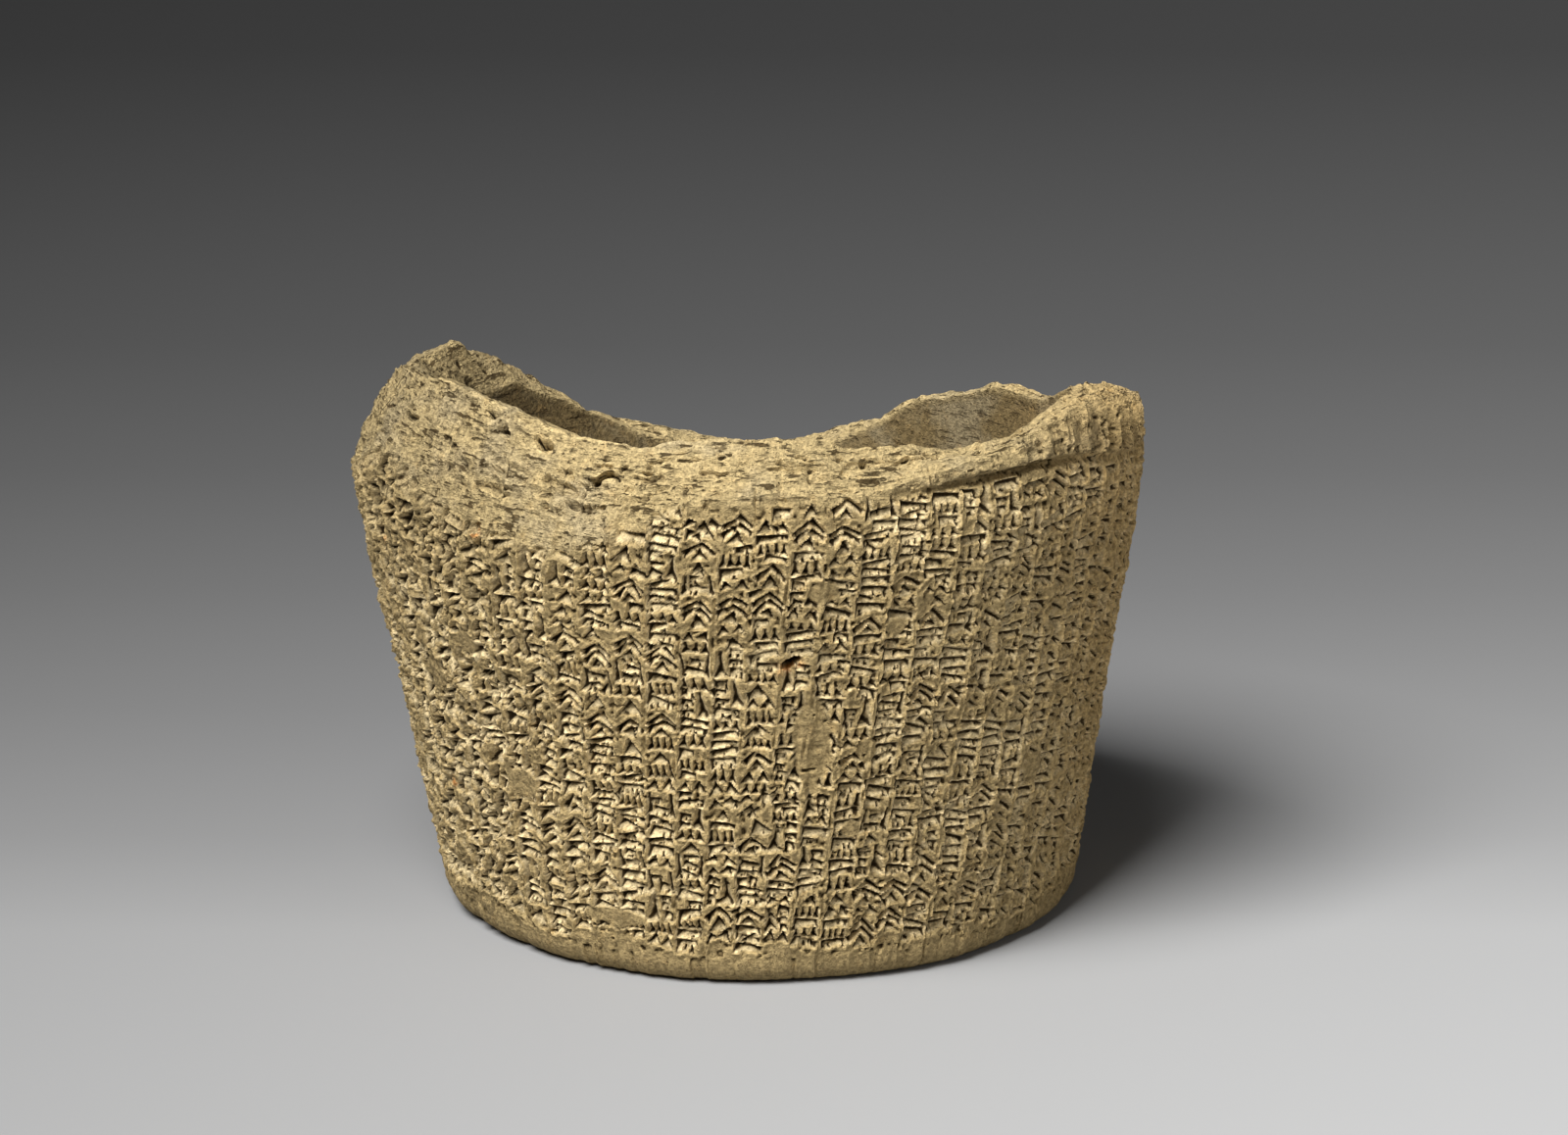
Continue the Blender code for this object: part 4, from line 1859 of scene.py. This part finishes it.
@dataclass(frozen=True)
class FiredClay:
    """The finish of the fired clay: gritty, dry and yellow-beige."""

    skin: tuple = (0.400, 0.294, 0.136)
    facet: tuple = (0.720, 0.566, 0.312)
    core: tuple = (0.525, 0.396, 0.191)
    grey_core: tuple = (0.478, 0.374, 0.204)
    olive: tuple = (0.165, 0.116, 0.050)
    pale_olive: tuple = (0.230, 0.180, 0.100)
    ochre: tuple = (0.500, 0.310, 0.110)
    rust: tuple = (0.600, 0.250, 0.070)
    # a near-black brown, painted into low places, pores and cracks as shade
    painted_shade: tuple = (0.050, 0.030, 0.010)
    roughness: float = 0.95
    gloss: float = 0.15
    cloud_scale: float = 70.0
    mottle_scale: float = 420.0
    grit_scale: float = 1500.0
    pore_scale: float = 2000.0
    bump_strength: float = 0.9
    bump_distance: float = 0.0008

    def material(self) -> bpy.types.Material:
        """Builds the material from procedural nodes on Object coordinates.

        Returns:
            The finished material.
        """
        material = bpy.data.materials.new("fired_clay")
        material.use_nodes = True
        make = NodeGroup(material.node_tree)
        shader = material.node_tree.nodes["Principled BSDF"]
        shader.inputs["Roughness"].default_value = self.roughness
        shader.inputs["Specular IOR Level"].default_value = self.gloss
        read = self._readings(make)
        colour = self._ground(make, read)
        colour = self._stained(make, read, colour)
        colour = self._shaded(make, read, colour)
        colour = self._pierced(make, read, colour)
        make.link(colour, shader.inputs["Base Color"])
        make.link(self._relief(make, read), shader.inputs["Normal"])
        return material

    def _readings(self, make: NodeGroup) -> dict:
        """Adds the nodes that read the masks, the place and the patterns of the clay.

        Args:
            make: the material's nodes.

        Returns:
            A socket for each name.
        """
        read = {}
        for name in ("pressed", "broken", "inside", "recess", "stain"):
            read[name] = make.node("ShaderNodeAttribute", attribute_name=name).outputs["Fac"]
        coords = make.node("ShaderNodeTexCoord").outputs["Object"]
        split = make.node("ShaderNodeSeparateXYZ")
        make.link(coords, split.inputs[0])
        read["across"] = split.outputs["X"]
        read["cloudy"] = make.noise(coords, self.cloud_scale, 4.0, 0.6)
        read["mottled"] = make.noise(coords, self.mottle_scale, 4.0, 0.65)
        read["grit"] = make.noise(coords, self.grit_scale, 4.0, 0.7)
        pores = make.node("ShaderNodeTexVoronoi")
        pores.inputs["Scale"].default_value = self.pore_scale
        make.link(coords, pores.inputs["Vector"])
        read["pores"] = pores.outputs["Distance"]
        cracks = make.node("ShaderNodeGroup", node_tree=straw_cracks())
        make.link(coords, cracks.inputs["Place"])
        read["layers"] = cracks.outputs["Layers"]
        bare = make.maths("ADD", read["broken"], make.maths("MULTIPLY", read["inside"], 0.6))
        read["torn"] = make.maths("MULTIPLY", cracks.outputs["Cracks"], bare)
        return read

    def _ground(self, make: NodeGroup, read: dict) -> bpy.types.NodeSocket:
        """Lays the base colours: the skin, the pressed strokes, the break and a darker olive for the inside.

        Args:
            make: the material's nodes.
            read: the sockets of the masks and patterns.

        Returns:
            The colour's socket.
        """
        colour = make.mix(read["pressed"], self.skin, self.facet)
        broken = make.mix(make.span(read["cloudy"], 0.48, 0.66), self.core, self.grey_core)
        colour = make.mix(read["broken"], colour, broken)
        within = make.mix(make.span(read["cloudy"], 0.44, 0.60), self.olive, self.pale_olive)
        return make.mix(read["inside"], colour, within)

    def _stained(self, make: NodeGroup, read: dict, colour: bpy.types.NodeSocket) -> bpy.types.NodeSocket:
        """Adds warm patches, more of them at the right, painted shade in low places and burnt stains.

        Args:
            make: the material's nodes.
            read: the sockets of the masks and patterns.
            colour: the colour so far.

        Returns:
            The colour's socket.
        """
        baked = make.maths("MULTIPLY", make.span(read["across"], 0.036, 0.060), 0.35)
        patches = make.maths("MULTIPLY", make.span(read["mottled"], 0.55, 0.75), 0.30)
        colour = make.mix(make.maths("ADD", patches, baked), colour, self.ochre)
        # painted shade: the recess mask darkens the low places of the wall and the break towards a near-black
        # brown
        painted_shade = make.maths("MULTIPLY", make.span(read["recess"], 0.56, 0.88), 0.97)
        colour = make.mix(painted_shade, colour, self.painted_shade)
        burnt = make.maths("MULTIPLY", read["stain"], make.span(read["mottled"], 0.40, 0.58))
        return make.mix(burnt, colour, self.rust)

    def _shaded(self, make: NodeGroup, read: dict, colour: bpy.types.NodeSocket) -> bpy.types.NodeSocket:
        """Paints a highlight on raised places and shade on the left side, and speckles the clay with its
        grit.

        Args:
            make: the material's nodes.
            read: the sockets of the masks and patterns.
            colour: the colour so far.

        Returns:
            The colour's socket.
        """
        speck = make.span(read["grit"], 0.36, 0.66)
        shade = make.maths("ADD", make.maths("MULTIPLY", speck, 0.55), 0.62)
        # painted highlight: raised places, where the recess mask is low, are made lighter
        light = make.maths("MULTIPLY", make.span(read["recess"], 0.5, 0.1), 0.38)
        # painted shade: the clay is made darker towards the left (-X)
        left_painted_shade = make.maths("MULTIPLY", make.span(read["across"], -0.018, -0.056), 0.24)
        shade = make.maths("SUBTRACT", make.maths("ADD", shade, light), left_painted_shade)
        return make.mix(1.0, colour, make.grey(shade), "MULTIPLY")

    def _pierced(self, make: NodeGroup, read: dict, colour: bpy.types.NodeSocket) -> bpy.types.NodeSocket:
        """Paints shade into small pores, fewer of them in pressed strokes, and into the cracks of the bare
        clay.

        Args:
            make: the material's nodes.
            read: the sockets of the masks and patterns.
            colour: the colour so far.

        Returns:
            The colour's socket.
        """
        # painted shade in small pores
        pores = make.span(read["pores"], 0.30, 0.08)
        pores = make.maths("MULTIPLY", pores, make.span(read["mottled"], 0.50, 0.62))
        kept = make.maths("SUBTRACT", 0.85, make.maths("MULTIPLY", read["pressed"], 0.6))
        colour = make.mix(make.maths("MULTIPLY", pores, kept), colour, self.painted_shade)
        # painted shade in the thin cracks of the break and the inside
        return make.mix(make.maths("MULTIPLY", read["torn"], 0.90), colour, self.painted_shade)

    def _relief(self, make: NodeGroup, read: dict) -> bpy.types.NodeSocket:
        """Bumps the surface by its pores, its grit, and the layers and cracks of the break.

        Args:
            make: the material's nodes.
            read: the sockets of the masks and patterns.

        Returns:
            The normal's socket.
        """
        pits = make.span(read["pores"], 0.05, 0.32)
        height = make.maths("ADD", make.maths("MULTIPLY", pits, 0.35), read["grit"])
        layers = make.maths("MULTIPLY", read["layers"], read["broken"])
        height = make.maths("ADD", height, make.maths("MULTIPLY", layers, 1.3))
        height = make.maths("SUBTRACT", height, make.maths("MULTIPLY", read["torn"], 1.6))
        bump = make.node("ShaderNodeBump")
        bump.inputs["Strength"].default_value = self.bump_strength
        bump.inputs["Distance"].default_value = self.bump_distance
        make.link(height, bump.inputs["Height"])
        return bump.outputs["Normal"]


@dataclass(frozen=True)
class GreyPaper:
    """The floor's finish: grey paper with painted shade, darker with distance and towards the left, as the
    light on it falls off.
    """

    greys: tuple = ((-0.11, 0.315), (-0.024, 0.296), (0.024, 0.232), (0.095, 0.179), (0.166, 0.137),
                    (0.247, 0.103), (0.346, 0.079), (0.637, 0.047))
    sideways: float = 1.6
    darkest: float = 0.6
    lightest: float = 1.4
    roughness: float = 0.9
    gloss: float = 0.1

    def material(self) -> bpy.types.Material:
        """Builds the material on Object coordinates.

        Returns:
            The finished material.
        """
        paper = bpy.data.materials.new("grey_paper")
        paper.use_nodes = True
        make = NodeGroup(paper.node_tree)
        shader = paper.node_tree.nodes["Principled BSDF"]
        coords = make.node("ShaderNodeTexCoord").outputs["Object"]
        split = make.node("ShaderNodeSeparateXYZ")
        make.link(coords, split.inputs[0])
        # painted shade: the greys darken with distance from the front
        ramp = make.node("ShaderNodeValToRGB")
        near, far = self.greys[0][0], self.greys[-1][0]
        while len(ramp.color_ramp.elements) < len(self.greys):
            ramp.color_ramp.elements.new(0.5)
        for element, (place, grey) in zip(ramp.color_ramp.elements, self.greys):
            element.position = (place - near) / (far - near)
            element.color = (grey, grey, grey, 1.0)
        away = make.node("ShaderNodeMapRange")
        away.inputs["From Min"].default_value = near
        away.inputs["From Max"].default_value = far
        make.link(split.outputs["Y"], away.inputs["Value"])
        make.link(away.outputs["Result"], ramp.inputs[0])
        # painted shade and light: darker towards the left (-X), lighter towards the right
        side = make.maths("ADD", make.maths("MULTIPLY", split.outputs["X"], self.sideways), 1.0)
        side = make.maths("MINIMUM", make.maths("MAXIMUM", side, self.darkest), self.lightest)
        colour = make.mix(1.0, ramp.outputs[0], make.grey(side), "MULTIPLY")
        make.link(colour, shader.inputs["Base Color"])
        shader.inputs["Roughness"].default_value = self.roughness
        shader.inputs["Specular IOR Level"].default_value = self.gloss
        return paper


@dataclass(frozen=True)
class Lamp:
    """A square area light: its name, place, size, power, and the point that it is aimed at."""

    name: str
    place: tuple
    size: float
    power: float
    target: tuple

    def build(self) -> None:
        """Adds the light to the scene."""
        light = bpy.data.lights.new(self.name, "AREA")
        light.size = self.size
        light.energy = self.power
        lamp = bpy.data.objects.new(self.name, light)
        lamp.location = self.place
        aim = Vector(self.target) - Vector(self.place)
        lamp.rotation_euler = aim.to_track_quat("-Z", "Y").to_euler()
        bpy.context.scene.collection.objects.link(lamp)


@dataclass(frozen=True)
class Studio:
    """A wide floor, a soft key light high at the front left, a weak fill at the right, and the camera."""

    camera_place: tuple = (0.003828, -1.066411, 0.361802)
    camera_pitch: float = 0.2826
    camera_lens: float = 162.0
    camera_near: float = 0.05
    floor_half: float = 3.0
    key: Lamp = Lamp("key", (-0.60, -0.92, 1.56), 1.0, 77.0, (0.0, 0.0, 0.04))
    fill: Lamp = Lamp("fill", (1.1, -0.7, 0.5), 0.8, 3.0, (0.0, 0.0, 0.05))
    sky: float = 0.04

    def build(self) -> None:
        """Makes the floor, the lights and the camera."""
        self._floor()
        self.key.build()
        self.fill.build()
        self._sky()
        self._camera()

    def _floor(self) -> None:
        """Lays a wide flat floor."""
        half = self.floor_half
        mesh = bpy.data.meshes.new("floor")
        corners = [(-half, -half, 0.0), (half, -half, 0.0), (half, half, 0.0), (-half, half, 0.0)]
        mesh.from_pydata(corners, [], [(0, 1, 2, 3)])
        floor = bpy.data.objects.new("floor", mesh)
        bpy.context.scene.collection.objects.link(floor)
        mesh.materials.append(GreyPaper().material())

    def _sky(self) -> None:
        """Fills the room with a little even light."""
        world = bpy.data.worlds.new("studio")
        world.use_nodes = True
        background = world.node_tree.nodes["Background"]
        background.inputs[0].default_value = (1.0, 1.0, 1.0, 1.0)
        background.inputs[1].default_value = self.sky
        bpy.context.scene.world = world

    def _camera(self) -> None:
        """Looks down at the front from the height that the photograph shows."""
        lens = bpy.data.cameras.new("camera")
        lens.lens = self.camera_lens
        lens.clip_start = self.camera_near
        camera = bpy.data.objects.new("camera", lens)
        camera.location = self.camera_place
        camera.rotation_euler = (math.pi / 2 - self.camera_pitch, 0.0, 0.0)
        bpy.context.scene.collection.objects.link(camera)
        bpy.context.scene.camera = camera
        bpy.context.scene.view_settings.view_transform = "Standard"


def main() -> None:
    """Builds the clay and the studio, and logs the triangles of each sector."""
    logging.basicConfig(level=logging.INFO)
    finish = FiredClay().material()
    log.info("finish made: %s", finish.name)
    for clay in ClayCylinder().build(finish):
        triangles = sum(len(face.vertices) - 2 for face in clay.data.polygons)
        log.info("%s: %d triangles", clay.name, triangles)
    Studio().build()
    log.info("studio built")


if __name__ == "__main__":
    main()
